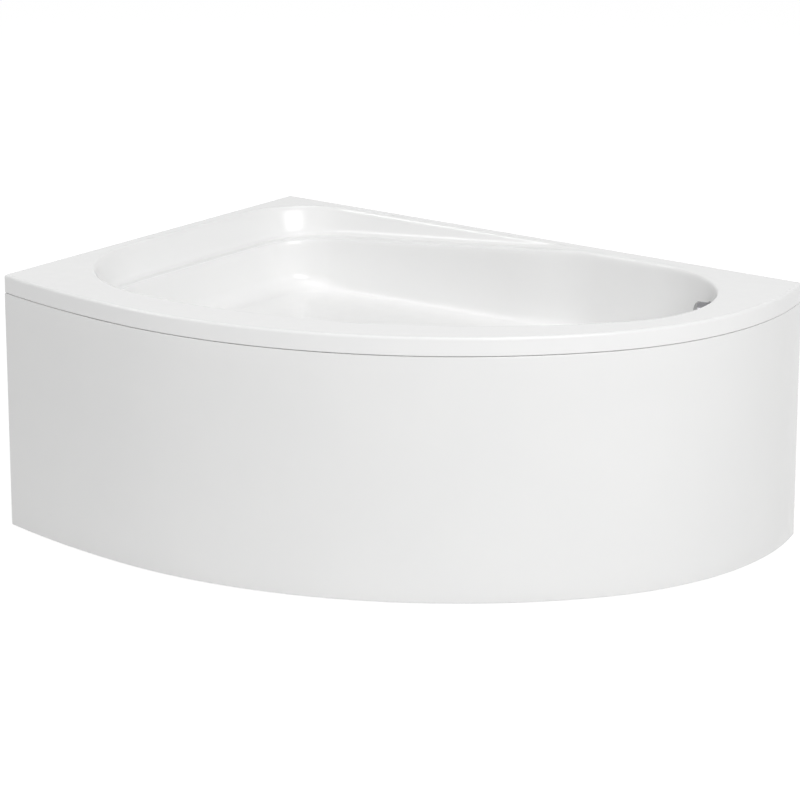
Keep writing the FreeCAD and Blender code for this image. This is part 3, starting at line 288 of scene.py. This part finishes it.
# ---- Base board and screws ----
# A board of pressed wood chips is bonded under the basin's floor. Screws through the rails hold
# the frame to it.
chipboard = finish("chipboard", light=(0.60, 0.47, 0.31), dark=(0.50, 0.38, 0.24),
                   gloss=(0.62, 0.80), clouds=9.0, grit=500.0, relief=0.0002)
overlay(chipboard, patch_group, {"Patch Scale": 240.0, "Darkest": 0.62, "Lightest": 1.12})
dress(chipboard, "base_board")
dress(zinc_steel, "board_screws")


# ---- Battens ----
# Sawn softwood strips are laminated under the rim, two along the walls and one along the bowed
# front, so that brackets and clips have something to bite on.


def wood_grain():
    """Long dark streaks along X, turned as asked."""
    group, enter, leave = shared_effect(
        "wood_grain", {"Color": "Color", "Turn": "Vector"}, {"Color": "Color"})
    place = group.nodes.new("ShaderNodeTexCoord")
    along = group.nodes.new("ShaderNodeMapping")
    along.inputs["Scale"].default_value = (3.0, 110.0, 110.0)
    grain = group.nodes.new("ShaderNodeTexNoise")
    grain.inputs["Scale"].default_value = 1.0
    grain.inputs["Detail"].default_value = 5.0
    grain.inputs["Distortion"].default_value = 0.6
    shade = spread(group, grain.outputs["Fac"])
    shade.inputs["To Min"].default_value = 0.68
    shade.inputs["To Max"].default_value = 1.05
    links = group.links
    links.new(place.outputs["Object"], along.inputs["Vector"])
    links.new(enter.outputs["Turn"], along.inputs["Rotation"])
    links.new(along.outputs["Vector"], grain.inputs["Vector"])
    streaked = multiplied(group, enter.outputs["Color"], shade.outputs["Result"])
    links.new(streaked, leave.inputs["Color"])
    return group


grain_group = wood_grain()


def softwood(name, turn):
    """Sawn wood with its grain along X, turned about Z."""
    material = finish(name, light=(0.76, 0.61, 0.40), dark=(0.68, 0.52, 0.32),
                      gloss=(0.55, 0.75), clouds=12.0, grit=420.0, relief=0.0002)
    overlay(material, grain_group, {"Turn": (0.0, 0.0, math.radians(turn))})
    return material


dress(softwood("softwood_lengthwise", 0.0), "wall_batten_long")
dress(softwood("softwood_crosswise", 90.0), "wall_batten_short")
dress(softwood("softwood_front", 20.0), "front_batten")


# ---- Bath shell ----
# One sheet of white acrylic, drawn hot into a mould: a flat rim with a turned-down lip, an arm
# ledge that climbs along the long wall, a corner seat and a deep basin. Every edge in it is soft.
walls_corner = complex(-0.7478277, 0.5390355)
long_wall = 1.460
short_wall = 1.020
rim_height = 0.590
rim_lip = 0.040
sheet = 0.005
basin_depth = 0.420


def turned(degrees):
    return cmath.rect(1.0, math.radians(degrees))


def straight(x, y, heading):
    """A side through a point, travelled at a heading in degrees with the inside at its left."""
    return "straight", complex(x, y), turned(heading)


def bow(centre, radius):
    """A side that bends left round a centre."""
    return "bow", centre, radius


def moved_in(side, distance):
    """The side moved towards the inside."""
    kind, place, run = side
    if kind == "straight":
        return kind, place + 1j * run * distance, run
    return kind, place, run - distance


def nearest_on(side, point):
    kind, place, run = side
    if kind == "straight":
        return place + run * ((point - place) * run.conjugate()).real
    return place + run * (point - place) / abs(point - place)


def heading_at(side, point):
    """Direction of travel where a side passes a point."""
    kind, place, run = side
    return run if kind == "straight" else 1j * (point - place) / abs(point - place)


def crossing(first, second, turn):
    """Where two sides cross, with the outline turning left there (turn above 0) or right."""
    if first[0] == second[0] == "straight":
        across = (1j * second[2]).conjugate()
        reach = ((second[1] - first[1]) * across).real / (first[2] * across).real
        return first[1] + first[2] * reach
    if first[0] == second[0]:
        apart = second[1] - first[1]
        reach = (abs(apart) ** 2 + first[2] ** 2 - second[2] ** 2) / (2 * abs(apart))
        along = apart / abs(apart)
        middle = first[1] + along * reach
        half = 1j * along * math.sqrt(first[2] ** 2 - reach ** 2)
    else:
        line, curve = (first, second) if first[0] == "straight" else (second, first)
        middle = nearest_on(line, curve[1])
        half = line[2] * math.sqrt(curve[2] ** 2 - abs(middle - curve[1]) ** 2)
    for point in (middle + half, middle - half):
        if (heading_at(first, point).conjugate() * heading_at(second, point)).imag * turn > 0:
            return point


def corner(before, after, radius):
    """Start, centre and end of a rounded corner. A negative radius turns outwards."""
    centre = crossing(moved_in(before, radius), moved_in(after, radius), radius)
    return nearest_on(before, centre), centre, nearest_on(after, centre)


def arc(start, centre, end, steps=60):
    """Points from start to end round a centre, the short way."""
    share = cmath.phase((end - centre) / (start - centre)) / steps
    return [centre + (start - centre) * cmath.rect(1.0, share * i) for i in range(steps + 1)]


def spaced(points, count):
    """Points evenly spaced along a line, without its last one."""
    points = np.array(points)
    reach = np.concatenate([[0.0], np.cumsum(abs(np.diff(points)))])
    stops = np.linspace(0.0, reach[-1], count + 1)[:-1]
    return np.interp(stops, reach, points.real) + 1j * np.interp(stops, reach, points.imag)


def ring_of(runs, counts):
    """A closed ring of runs, each with its own count of points."""
    return np.concatenate([spaced(run, count) for run, count in zip(runs, counts)])


def at_height(ring, height):
    return np.stack([ring.real, ring.imag, np.broadcast_to(height, len(ring))], axis=1)


def outward(ring):
    """Directions away from the inside of a ring that is travelled anticlockwise."""
    along = np.roll(ring, -1) - np.roll(ring, 1)
    return -1j * along / abs(along)


def eased(value):
    value = np.clip(value, 0.0, 1.0)
    return value * value * (3.0 - 2.0 * value)


def slope(degrees):
    return math.tan(math.radians(degrees))


# Stations round the shell: left wall, front left corner, front, foot end, long wall up to the
# seat, on to the ledge's end, across that end, along the ledge, back corner, left wall.
station_counts = (8, 28, 44, 46, 8, 12, 16, 34, 20, 24)
seat_left_y, seat_right_x, seat_depth = -0.640, 1.050, 0.178
ledge_narrow_x, ledge_end_x, ledge_slope = 0.790, 0.900, 0.085
ledge_margin = 0.010
opening_left = straight(0.036, 0, 270)
opening_front = bow(0.422 + 0.18093j, 1.147)
opening_back = straight(0, -0.030, 180)
opening_draft = 24.0
opening_radii = (0.335, 0.288, 0.180)
opening_drop = 0.077
opening_start_y = -0.600


def opening_ring(depth):
    """Outline of the upper wall at a depth under the rim."""
    inset = depth * slope(opening_draft)
    left, front, back = (moved_in(side, inset)
                         for side in (opening_left, opening_front, opening_back))
    front_left = corner(left, front, opening_radii[0] - inset)
    end = corner(front, back, opening_radii[1] - inset)
    back_left = corner(back, left, opening_radii[2] - inset)
    start = nearest_on(left, complex(0, opening_start_y))
    places = (seat_right_x, ledge_end_x + ledge_margin, ledge_narrow_x - ledge_margin)
    stops = [nearest_on(back, complex(x, 0)) for x in places]
    runs = [[start, front_left[0]], arc(*front_left), arc(front_left[2], front[1], end[0]),
            arc(*end), [end[2], stops[0]], stops[:2], stops[1:], [stops[2], back_left[0]],
            arc(*back_left), [back_left[2], start]]
    return ring_of(runs, station_counts)


basin_left_x, basin_back_y, basin_narrow_y = 0.091, -0.050, -0.0785
basin_front = bow(0.436 + 0.18693j, 1.143)
basin_drafts = (15.0, 12.0, 6.5, 6.5, 6.5)
basin_radii = (0.285, 0.288, 0.135)
basin_tightest = 0.024
bend_radius, bend_drop, narrow_heading = 0.420, 0.027, 182.7
bend_heading = 180 + math.degrees(math.atan2(bend_drop, ledge_end_x - ledge_narrow_x))


def basin_sides(depth):
    """The basin's five wall lines at a depth under the rim, and how far each has moved in."""
    sides = (straight(basin_left_x, 0, 270), basin_front, straight(0, basin_back_y, 180),
             straight(ledge_end_x, basin_back_y, bend_heading),
             straight(ledge_narrow_x, basin_narrow_y, narrow_heading))
    insets = [depth * slope(draft) for draft in basin_drafts]
    return [moved_in(side, inset) for side, inset in zip(sides, insets)], insets


def front_corners(left, front, last, insets):
    """The basin's rounded corners at both ends of its bowed front."""
    return (corner(left, front, basin_radii[0] - (insets[0] + insets[1]) / 2),
            corner(front, last, basin_radii[1] - (insets[1] + insets[2]) / 2))


def basin_ring(depth):
    """Outline of the basin's walls at a depth under the rim."""
    sides, insets = basin_sides(depth)
    front_left, end = front_corners(*sides[:3], insets)
    first_bend = corner(sides[2], sides[3], bend_radius - insets[2])
    second_bend = corner(sides[3], sides[4], -bend_radius - insets[2])
    back_radius = max(basin_radii[2] - (insets[0] + insets[2]) / 2, basin_tightest)
    back = corner(sides[4], sides[0], back_radius)
    start = nearest_on(sides[0], complex(0, seat_left_y))
    stop = nearest_on(sides[2], complex(seat_right_x, 0))
    runs = [[start, front_left[0]], arc(*front_left), arc(front_left[2], basin_front[1], end[0]),
            arc(*end), [end[2], stop], [stop, first_bend[0]], arc(*first_bend) + arc(*second_bend),
            [second_bend[2], back[0]], arc(*back), [back[2], start]]
    return ring_of(runs, station_counts)


seat_bow, seat_draft, seat_corner = 3.6, 10.0, 0.070
seat_ends = (complex(basin_left_x + seat_depth * slope(basin_drafts[0]), seat_left_y),
             complex(seat_right_x, basin_back_y - seat_depth * slope(basin_drafts[2])))
seat_chord = seat_ends[1] - seat_ends[0]
seat_rise = math.sqrt(seat_bow ** 2 - abs(seat_chord / 2) ** 2)
seat_centre = sum(seat_ends) / 2 - 1j * seat_chord / abs(seat_chord) * seat_rise


def foot_ring(depth, shares):
    """Outline of the foot room at or under the seat: three walls, the last is the seat's face."""
    walls, insets = basin_sides(depth)
    left, front = walls[:2]
    face = bow(seat_centre, seat_bow - (depth - seat_depth) * slope(seat_draft))
    front_left, end = front_corners(left, front, face, insets)
    seat_left = corner(face, left, seat_corner)
    turn = arc(*seat_left)
    halfway = turn[len(turn) // 2]
    crest = end[1] + 1j * abs(end[0] - end[1])
    runs = [arc(halfway, seat_left[1], seat_left[2]) + [front_left[0]], arc(*front_left),
            arc(front_left[2], basin_front[1], end[0]), arc(end[0], end[1], crest),
            arc(crest, end[1], end[2])]
    line = np.array(arc(end[2], seat_centre, seat_left[0])
                    + arc(seat_left[0], seat_left[1], halfway))
    reach = np.concatenate([[0.0], np.cumsum(abs(np.diff(line)))])
    stops = shares * reach[-1]
    behind = np.interp(stops, reach, line.real) + 1j * np.interp(stops, reach, line.imag)
    return np.concatenate([ring_of(runs, station_counts), behind])


def at_ledge(top, low, low_depth):
    """Slide each station down its wall until it meets the sloping plane of the ledge."""
    blend = 0.03
    depth = np.zeros(len(top))
    for step in range(6):
        ahead = ledge_end_x - (top + (low - top) * depth / low_depth).real
        depth = ledge_slope * (ahead + np.sqrt(ahead ** 2 + blend ** 2)) / 2
    return top + (low - top) * depth / low_depth, rim_height - depth


run_out_start, run_out_length = 0.780, 0.150
opening_top = opening_ring(0.0)
basin_top = basin_ring(0.0)
opening_foot, opening_foot_z = at_ledge(opening_top, opening_ring(opening_drop), opening_drop)
ledge_edge, ledge_edge_z = at_ledge(basin_top, basin_ring(basin_depth), basin_depth)
run_out = eased((basin_top.real - run_out_start) / run_out_length)
opening_top = opening_top + (ledge_edge + outward(ledge_edge) * 0.020 - opening_top) * run_out
opening_foot = opening_foot + (ledge_edge + outward(ledge_edge) * 0.010 - opening_foot) * run_out
opening_foot_z = opening_foot_z + (ledge_edge_z - opening_foot_z) * run_out
seat_back = basin_ring(seat_depth)
seat_part = seat_back[sum(station_counts[:5]):]
shares = np.concatenate([[0.0], np.cumsum(abs(np.diff(seat_part)))])
shares = shares / (shares[-1] + abs(seat_part[-1] - seat_back[0]))
seat_edge = foot_ring(seat_depth, shares)
floor_foot = foot_ring(basin_depth, shares)
waste = complex(1.100, -0.340)
waste_radius, waste_step = 0.026, 0.010
towards_waste = (floor_foot - waste) / abs(floor_foot - waste)
stations = len(basin_top)
level = np.full(stations, rim_height)

# The drawn profile's folds from the rim to the waste: ring, height and rounded length. The seat's
# back is rounder near the short wall.
folds = (
    (opening_top + outward(opening_top) * 0.050, level, 0.020),
    (opening_top + outward(opening_top) * 0.010, level, 0.012),
    (opening_top, level, 0.012),
    (opening_foot, opening_foot_z, 0.022),
    (ledge_edge, ledge_edge_z, 0.014),
    (seat_back, level - seat_depth, 0.026 + 0.074 * eased((0.30 - seat_back.real) / 0.16)),
    (seat_edge, level - seat_depth, 0.064),
    (floor_foot, level - basin_depth, 0.130),
    (waste + waste_radius * towards_waste, level - basin_depth, 0.012),
    (waste + waste_step * towards_waste, level - basin_depth, 0.012),
)
course = np.stack([at_height(ring, height) for ring, height, rounding in folds], axis=1)
softness = np.stack([np.broadcast_to(rounding, stations) for ring, height, rounding in folds],
                    axis=1)


rim_stops, opening_stops, ledge_stops = 5, 8, 8
wall_stops, seat_stops, face_stops, floor_stops = 25, 17, 27, 23
floor_evenness = 0.35


def rounded_profile(knots, soft, on_seat):
    """One drawn profile from the rim to the waste, its corners rounded as by a sliding mean."""
    reach = np.concatenate([[0.0], np.cumsum(np.linalg.norm(np.diff(knots, axis=0), axis=1))])
    reach = reach + np.arange(len(reach)) * 1e-7
    fine = np.linspace(0.0, reach[-1], 1600)
    line = np.stack([np.interp(fine, reach, knots[:, axis]) for axis in range(3)], axis=1)
    added = np.cumsum((line[1:] + line[:-1]) / 2 * fine[1], axis=0)
    total = np.concatenate([np.zeros((1, 3)), added])
    upper = [np.linspace(reach[i], reach[i + 1], count)[:-1]
             for i, count in ((1, rim_stops), (2, opening_stops), (3, ledge_stops))]
    swing = (1 - np.cos(np.linspace(0, math.pi, seat_stops)[:-1])) / 2
    by_piece = np.concatenate([np.linspace(reach[4], reach[5], wall_stops)[:-1],
                               reach[5] + (reach[6] - reach[5]) * swing,
                               np.linspace(reach[6], reach[7], face_stops)])
    by_length = np.linspace(reach[4], reach[7], len(by_piece))
    inwards = np.linspace(0.0, 1.0, floor_stops)[1:]
    inwards = floor_evenness * inwards + (1 - floor_evenness) * inwards ** 2
    bottom = reach[7] + (reach[8] - reach[7]) * inwards
    stops = np.concatenate([*upper, by_length + (by_piece - by_length) * on_seat, bottom])
    half = np.interp(stops, reach, soft) / 2
    points = []
    for axis in range(3):
        high = np.interp(stops + half, fine, total[:, axis])
        low = np.interp(stops - half, fine, total[:, axis])
        points.append((high - low) / (2 * half))
    return np.stack(points, axis=1)


full_seat = 0.15
on_seat = eased(abs(seat_edge - seat_back) / full_seat)
hollow = np.stack([rounded_profile(*values) for values in zip(course, softness, on_seat)], axis=1)


def drawn_skin(name, rings):
    """A circle laid as the first ring, then extruded ring by ring. Stations keep their number."""
    bpy.ops.object.select_all(action="DESELECT")
    bpy.ops.mesh.primitive_circle_add(vertices=len(rings[0]))
    skin = bpy.context.object
    skin.name = name
    bpy.ops.object.mode_set(mode="EDIT")
    bpy.ops.mesh.select_all(action="SELECT")
    mesh = bmesh.from_edit_mesh(skin.data)
    station = mesh.verts.layers.int.new("station")
    for number, vertex in enumerate(mesh.verts):
        vertex[station] = number
    for number, ring in enumerate(rings):
        if number:
            bpy.ops.mesh.extrude_region_move()
            mesh = bmesh.from_edit_mesh(skin.data)
            station = mesh.verts.layers.int["station"]
        for vertex in mesh.verts:
            if vertex.select:
                x, y, z = ring[vertex[station]]
                vertex.co = (x + walls_corner.real, y + walls_corner.imag, z)
    bmesh.update_edit_mesh(skin.data)
    bpy.ops.object.mode_set(mode="OBJECT")
    return skin


def thicken(piece, thickness):
    """Give an open skin its wall, behind the side that shows."""
    bpy.context.view_layer.objects.active = piece
    wall = piece.modifiers.new("wall", "SOLIDIFY")
    wall.thickness = thickness
    wall.offset = -1.0
    bpy.ops.object.modifier_apply(modifier=wall.name)


def face_up(piece, height, margin):
    """Turn all faces the same way, so that the flat ones near a height look up."""
    bpy.ops.object.mode_set(mode="EDIT")
    bpy.ops.mesh.select_all(action="SELECT")
    bpy.ops.mesh.normals_make_consistent(inside=False)
    bpy.ops.object.mode_set(mode="OBJECT")
    flat = [face for face in piece.data.polygons if abs(face.center.z - height) < margin]
    if sum(face.normal.z * face.area for face in flat) < 0:
        piece.data.flip_normals()


def bore(piece, point, axis, radius, depth=0.060):
    """Drill a round hole through a piece."""
    bpy.ops.object.select_all(action="DESELECT")
    turn = Vector((0, 0, 1)).rotation_difference(Vector(axis)).to_euler()
    bpy.ops.mesh.primitive_cylinder_add(vertices=64, radius=radius, depth=depth,
                                        location=point, rotation=turn)
    drill = bpy.context.object
    bpy.context.view_layer.objects.active = piece
    hole = piece.modifiers.new("hole", "BOOLEAN")
    hole.operation = "DIFFERENCE"
    hole.solver = "EXACT"
    hole.object = drill
    bpy.ops.object.modifier_apply(modifier=hole.name)
    bpy.data.objects.remove(drill)


def smooth(piece, degrees=40.0):
    bpy.ops.object.select_all(action="DESELECT")
    piece.select_set(True)
    bpy.context.view_layer.objects.active = piece
    bpy.ops.object.shade_smooth_by_angle(angle=math.radians(degrees))


first_heading = -13.7
middle_heading = first_heading + 10.4
last_heading = middle_heading + 55.4
first_radius, middle_radius = 2.096, 1.154
first_bow = bow(-1j * short_wall + 1j * turned(first_heading) * first_radius, first_radius)
first_join = first_bow[1] - 1j * turned(middle_heading) * first_radius
middle_bow = bow(first_join + 1j * turned(middle_heading) * middle_radius, middle_radius)
last_join = middle_bow[1] - 1j * turned(last_heading) * middle_radius
last_chord = long_wall - last_join
last_across = 1j * turned(last_heading)
last_radius = abs(last_chord) ** 2 / (2 * (last_chord * last_across.conjugate()).real)
last_bow = bow(last_join + last_across * last_radius, last_radius)


def bowed_front(inset, radius):
    """Both wall lines, and the runs of the front's three arcs with a rounded corner at each end."""
    left = moved_in(straight(0, 0, 270), inset)
    back = moved_in(straight(0, 0, 180), inset)
    bows = [moved_in(side, inset) for side in (first_bow, middle_bow, last_bow)]
    near_left = corner(left, bows[0], radius)
    right = corner(bows[2], back, radius)
    joins = [nearest_on(bows[0], first_join), nearest_on(bows[1], last_join)]
    return left, back, [arc(*near_left), arc(near_left[2], bows[0][1], joins[0]),
                        arc(joins[0], bows[1][1], joins[1]), arc(joins[1], bows[2][1], right[0]),
                        arc(*right)]


rim_corner, rim_tightest = 0.008, 0.002
rim_counts = (14, 8, 22, 80, 34, 8, 30, 8, 14)


def rim_ring(inset):
    """Outline of the rim: two straight walls and a front of three arcs."""
    radius = max(rim_corner - inset, rim_tightest)
    left, back, front = bowed_front(inset, radius)
    far_left = corner(back, left, radius)
    start = nearest_on(left, -0.5j)
    runs = [[start, front[0][0]], *front, [front[-1][-1], far_left[0]], arc(*far_left),
            [far_left[2], start]]
    return ring_of(runs, rim_counts)


def quarter_round(radius, steps):
    """Inset and drop of points on a quarter circle, from an upright face to a level one."""
    turns = [math.radians(90.0 * step / steps) for step in range(steps + 1)]
    return [(radius * (1 - math.cos(turn)), radius * (1 - math.sin(turn))) for turn in turns]


rim_edge = 0.006
lip_face = (rim_lip, 0.038, 0.023, 0.008)
rim_flat = (0.009, 0.014)
lip_levels = [(0.0, drop) for drop in lip_face]
lip_levels += quarter_round(rim_edge, 6) + [(inset, 0.0) for inset in rim_flat]
lip_rings = [at_height(rim_ring(inset), rim_height - drop) for inset, drop in lip_levels]

level_margin = 0.0005
shell = drawn_skin("bath_shell_drawn", hollow)
lip = drawn_skin("bath_lip", lip_rings)
bpy.ops.object.select_all(action="DESELECT")
shell.select_set(True)
lip.select_set(True)
bpy.context.view_layer.objects.active = shell
bpy.ops.object.join()
bpy.ops.object.mode_set(mode="EDIT")
bpy.ops.mesh.select_mode(type="EDGE")
bpy.ops.mesh.select_all(action="DESELECT")
mesh = bmesh.from_edit_mesh(shell.data)
for edge in mesh.edges:
    on_rim = all(vertex.co.z > rim_height - level_margin for vertex in edge.verts)
    edge.select = edge.is_boundary and on_rim
bmesh.update_edit_mesh(shell.data)
bpy.ops.mesh.fill(use_beauty=False)
bpy.ops.mesh.select_mode(type="VERT")
bpy.ops.object.mode_set(mode="OBJECT")
face_up(shell, rim_height, level_margin)
thicken(shell, sheet)

overflow_point = Vector((0.566613, 0.389431, 0.518))
overflow_axis = Vector((-0.735114, -0.661899, 0.146618))
bore(shell, overflow_point, overflow_axis, radius=0.026)
smooth(shell)

# Painted light: the shell's copy of the acrylic is made lighter than the panel's copy of the same
# acrylic, so that its inside comes out brighter.
white_acrylic = finish("white_acrylic", light=(0.960, 0.960, 0.956), dark=(0.950, 0.951, 0.948),
                       gloss=(0.18, 0.22), clouds=5.0, grit=38.0, relief=0.000005)
white_acrylic.node_tree.nodes["Principled BSDF"].inputs["IOR"].default_value = 1.49
shell.data.materials.append(white_acrylic)
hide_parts("bath_shell")
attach(shell, "bath")


# ---- Glass-fibre backing ----
# Chopped glass fibre and resin, sprayed on the outside of the basin under the rim. It is rough to
# the touch, and strands show in it.
backing_top = 0.528
backing_sheet = 0.0029
backing_gap = 0.00005
seat_flat = 0.006
backing = drawn_skin("backing_sprayed", hollow)
face_up(backing, rim_height - seat_depth, seat_flat)
bpy.ops.object.mode_set(mode="EDIT")
bpy.ops.mesh.select_all(action="SELECT")
bpy.ops.mesh.bisect(plane_co=(0, 0, backing_top), plane_no=(0, 0, 1), clear_outer=True)
bpy.ops.mesh.select_all(action="SELECT")
bpy.ops.transform.shrink_fatten(value=-(sheet + backing_gap))
bpy.ops.object.mode_set(mode="OBJECT")
thicken(backing, backing_sheet)
bore(backing, overflow_point, overflow_axis, radius=0.044)
smooth(backing)

sprayed = finish("sprayed_laminate", light=(0.66, 0.63, 0.50), dark=(0.56, 0.53, 0.41),
                 gloss=(0.38, 0.70), clouds=18.0, grit=300.0, relief=0.0008)
sprayed_tree = sprayed.node_tree
strand_place = sprayed_tree.nodes.new("ShaderNodeTexCoord")
strands = sprayed_tree.nodes.new("ShaderNodeTexNoise")
strands.inputs["Scale"].default_value = 90.0
strands.inputs["Detail"].default_value = 2.0
strands.inputs["Distortion"].default_value = 6.0
strand_mask = sprayed_tree.nodes.new("ShaderNodeMapRange")
strand_mask.inputs["From Min"].default_value = 0.56
strand_mask.inputs["From Max"].default_value = 0.66
strand_tone = sprayed_tree.nodes.new("ShaderNodeMix")
strand_tone.data_type = "RGBA"
strand_tone.inputs["B"].default_value = (0.78, 0.76, 0.66, 1.0)
sprayed_shader = sprayed_tree.nodes["Principled BSDF"]
sprayed_tree.links.new(strand_place.outputs["Object"], strands.inputs["Vector"])
sprayed_tree.links.new(strands.outputs["Fac"], strand_mask.inputs["Value"])
sprayed_tree.links.new(strand_mask.outputs["Result"], strand_tone.inputs["Factor"])
sprayed_tree.links.new(sprayed_tree.nodes["surface"].outputs["Color"], strand_tone.inputs["A"])
sprayed_tree.links.new(strand_tone.outputs["Result"], sprayed_shader.inputs["Base Color"])
backing.data.materials.append(sprayed)
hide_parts("glass_fibre_backing")
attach(backing, "bath")


# ---- Waste, plug and trap ----
# A chromed flange screws down through the floor into a moulded body, with rubber rings between.
# The chromed plug stands on a brass stem, and the trap and its pipe hang under the body.
chrome_plate = finish("chrome_plate", light=(0.80, 0.81, 0.82), dark=(0.76, 0.77, 0.78),
                      gloss=(0.05, 0.11), clouds=40.0, grit=160.0, relief=0.000004, metal=1.0)
seal_rubber = finish("seal_rubber", light=(0.034, 0.033, 0.033), dark=(0.024, 0.024, 0.024),
                     gloss=(0.60, 0.78), clouds=60.0, grit=800.0, relief=0.00005)
white_plastic = finish("white_plastic", light=(0.80, 0.80, 0.78), dark=(0.75, 0.75, 0.73),
                       gloss=(0.34, 0.46), clouds=22.0, grit=500.0, relief=0.00005)
brass = finish("brass_parts", light=(0.80, 0.62, 0.30), dark=(0.68, 0.51, 0.24),
               gloss=(0.20, 0.36), clouds=50.0, grit=600.0, relief=0.00002, metal=1.0)
dress(chrome_plate, "waste_flange", "waste_plug")
dress(seal_rubber, "waste_seal", "plug_seal", "trap_seal")
dress(white_plastic, "waste_body", "lift_finger", "trap_nut", "trap_body", "trap_cap",
      "outlet_pipe", "outlet_nut")
dress(brass, "plug_stem")


# ---- Overflow and knob ----
# A chromed plate and a turning knob sit on the foot-end wall, high up. Behind the wall a moulded
# body takes the water, and the knob's brass spindle pulls the plug's cable.
# The plate's and knob's chrome is painted dark, a painted reflection of darker surroundings,
# because every gloss ray here sees the studio as white.
chrome_painted_dark = finish("chrome_painted_dark", light=(0.26, 0.26, 0.27), dark=(0.23, 0.23, 0.24),
                      gloss=(0.16, 0.24), clouds=40.0, grit=300.0, relief=0.000006, metal=1.0)
dress(chrome_painted_dark, "overflow_plate", "overflow_knob")
dress(seal_rubber, "overflow_seal")
dress(white_plastic, "overflow_body", "hose_nuts")
dress(brass, "control_spindle")


# ---- Hose and cable ----
# A grey flexible hose carries the overflow's water down to the waste, and a thin black-sheathed
# cable beside it lifts the plug.
grey_hose = finish("grey_hose", light=(0.50, 0.51, 0.52), dark=(0.45, 0.46, 0.47),
                   gloss=(0.36, 0.50), clouds=30.0, grit=500.0, relief=0.00005)
dress(grey_hose, "overflow_hose")
dress(black_plastic, "control_cable")


# ---- Front panel ----
# A bowed sheet of the same white acrylic, folded back at the top, the bottom and both ends. Boards
# bonded upright behind it keep its curve, and clips and toes hold it.
panel_top = 0.548
panel_bottom = 0.003
panel_flange = 0.022
panel_return = 0.034
panel_sheet = 0.004
panel_round = 0.0025
panel_corner, panel_tightest = 0.005, 0.001
panel_counts = (5, 8, 22, 80, 34, 8, 5)
fold_middle = 0.012


def panel_line(inset):
    """Line of the panel at a distance behind its face, from one wall return to the other."""
    left, back, front = bowed_front(inset, max(panel_corner - inset, panel_tightest))
    start = nearest_on(left, complex(0, panel_return - short_wall))
    end = nearest_on(back, complex(long_wall - panel_return, 0))
    runs = [[start, front[0][0]], *front, [front[-1][-1], end]]
    return np.concatenate([ring_of(runs, panel_counts), [end]])


panel_edge = quarter_round(panel_round, 5)
upright = np.linspace(panel_bottom + panel_round, panel_top - panel_round, 13)[1:-1]
panel_profile = [(panel_flange, panel_bottom), (fold_middle, panel_bottom)]
panel_profile += [(inset, panel_bottom + drop) for inset, drop in reversed(panel_edge)]
panel_profile += [(0.0, height) for height in upright]
panel_profile += [(inset, panel_top - drop) for inset, drop in panel_edge]
panel_profile += [(fold_middle, panel_top), (panel_flange, panel_top)]
panel_rows = [at_height(panel_line(inset), height) for inset, height in panel_profile]
panel_points = np.concatenate(panel_rows)

bpy.ops.object.select_all(action="DESELECT")
bpy.ops.mesh.primitive_grid_add(x_subdivisions=len(panel_rows[0]) - 1,
                                y_subdivisions=len(panel_rows) - 1, size=1.0)
panel = bpy.context.object
panel.name = "front_panel_sheet"
for vertex, (x, y, z) in zip(panel.data.vertices, panel_points):
    vertex.co = (x + walls_corner.real, y + walls_corner.imag, z)
panel.data.update()
on_front = Vector((-0.3, -0.53, 0.3))
front_face = min(panel.data.polygons, key=lambda face: (face.center - on_front).length)
if front_face.normal.y > 0:
    panel.data.flip_normals()
thicken(panel, panel_sheet)
smooth(panel)
# The panel keeps the darker copy of the same acrylic, the shaded one of the pair; the shell's copy
# is painted lighter.
panel_acrylic = finish("panel_acrylic", light=(0.925, 0.925, 0.920), dark=(0.912, 0.913, 0.909),
                       gloss=(0.14, 0.20), clouds=4.0, grit=45.0, relief=0.00010)
panel_acrylic.node_tree.nodes["Principled BSDF"].inputs["IOR"].default_value = 1.49
panel.data.materials.append(panel_acrylic)
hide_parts("apron_panel")
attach(panel, "front_panel")
dress(chipboard, "panel_stiffeners")
dress(galvanised, "panel_clips", "panel_toes")
dress(zinc_steel, "clip_screws")


# ---- Wall brackets ----
# Four hooks of pressed and galvanised steel, two on each wall. Each is screwed to the wall, and
# the lip of the rim drops over it.
dress(galvanised, "wall_brackets_long", "wall_brackets_short")
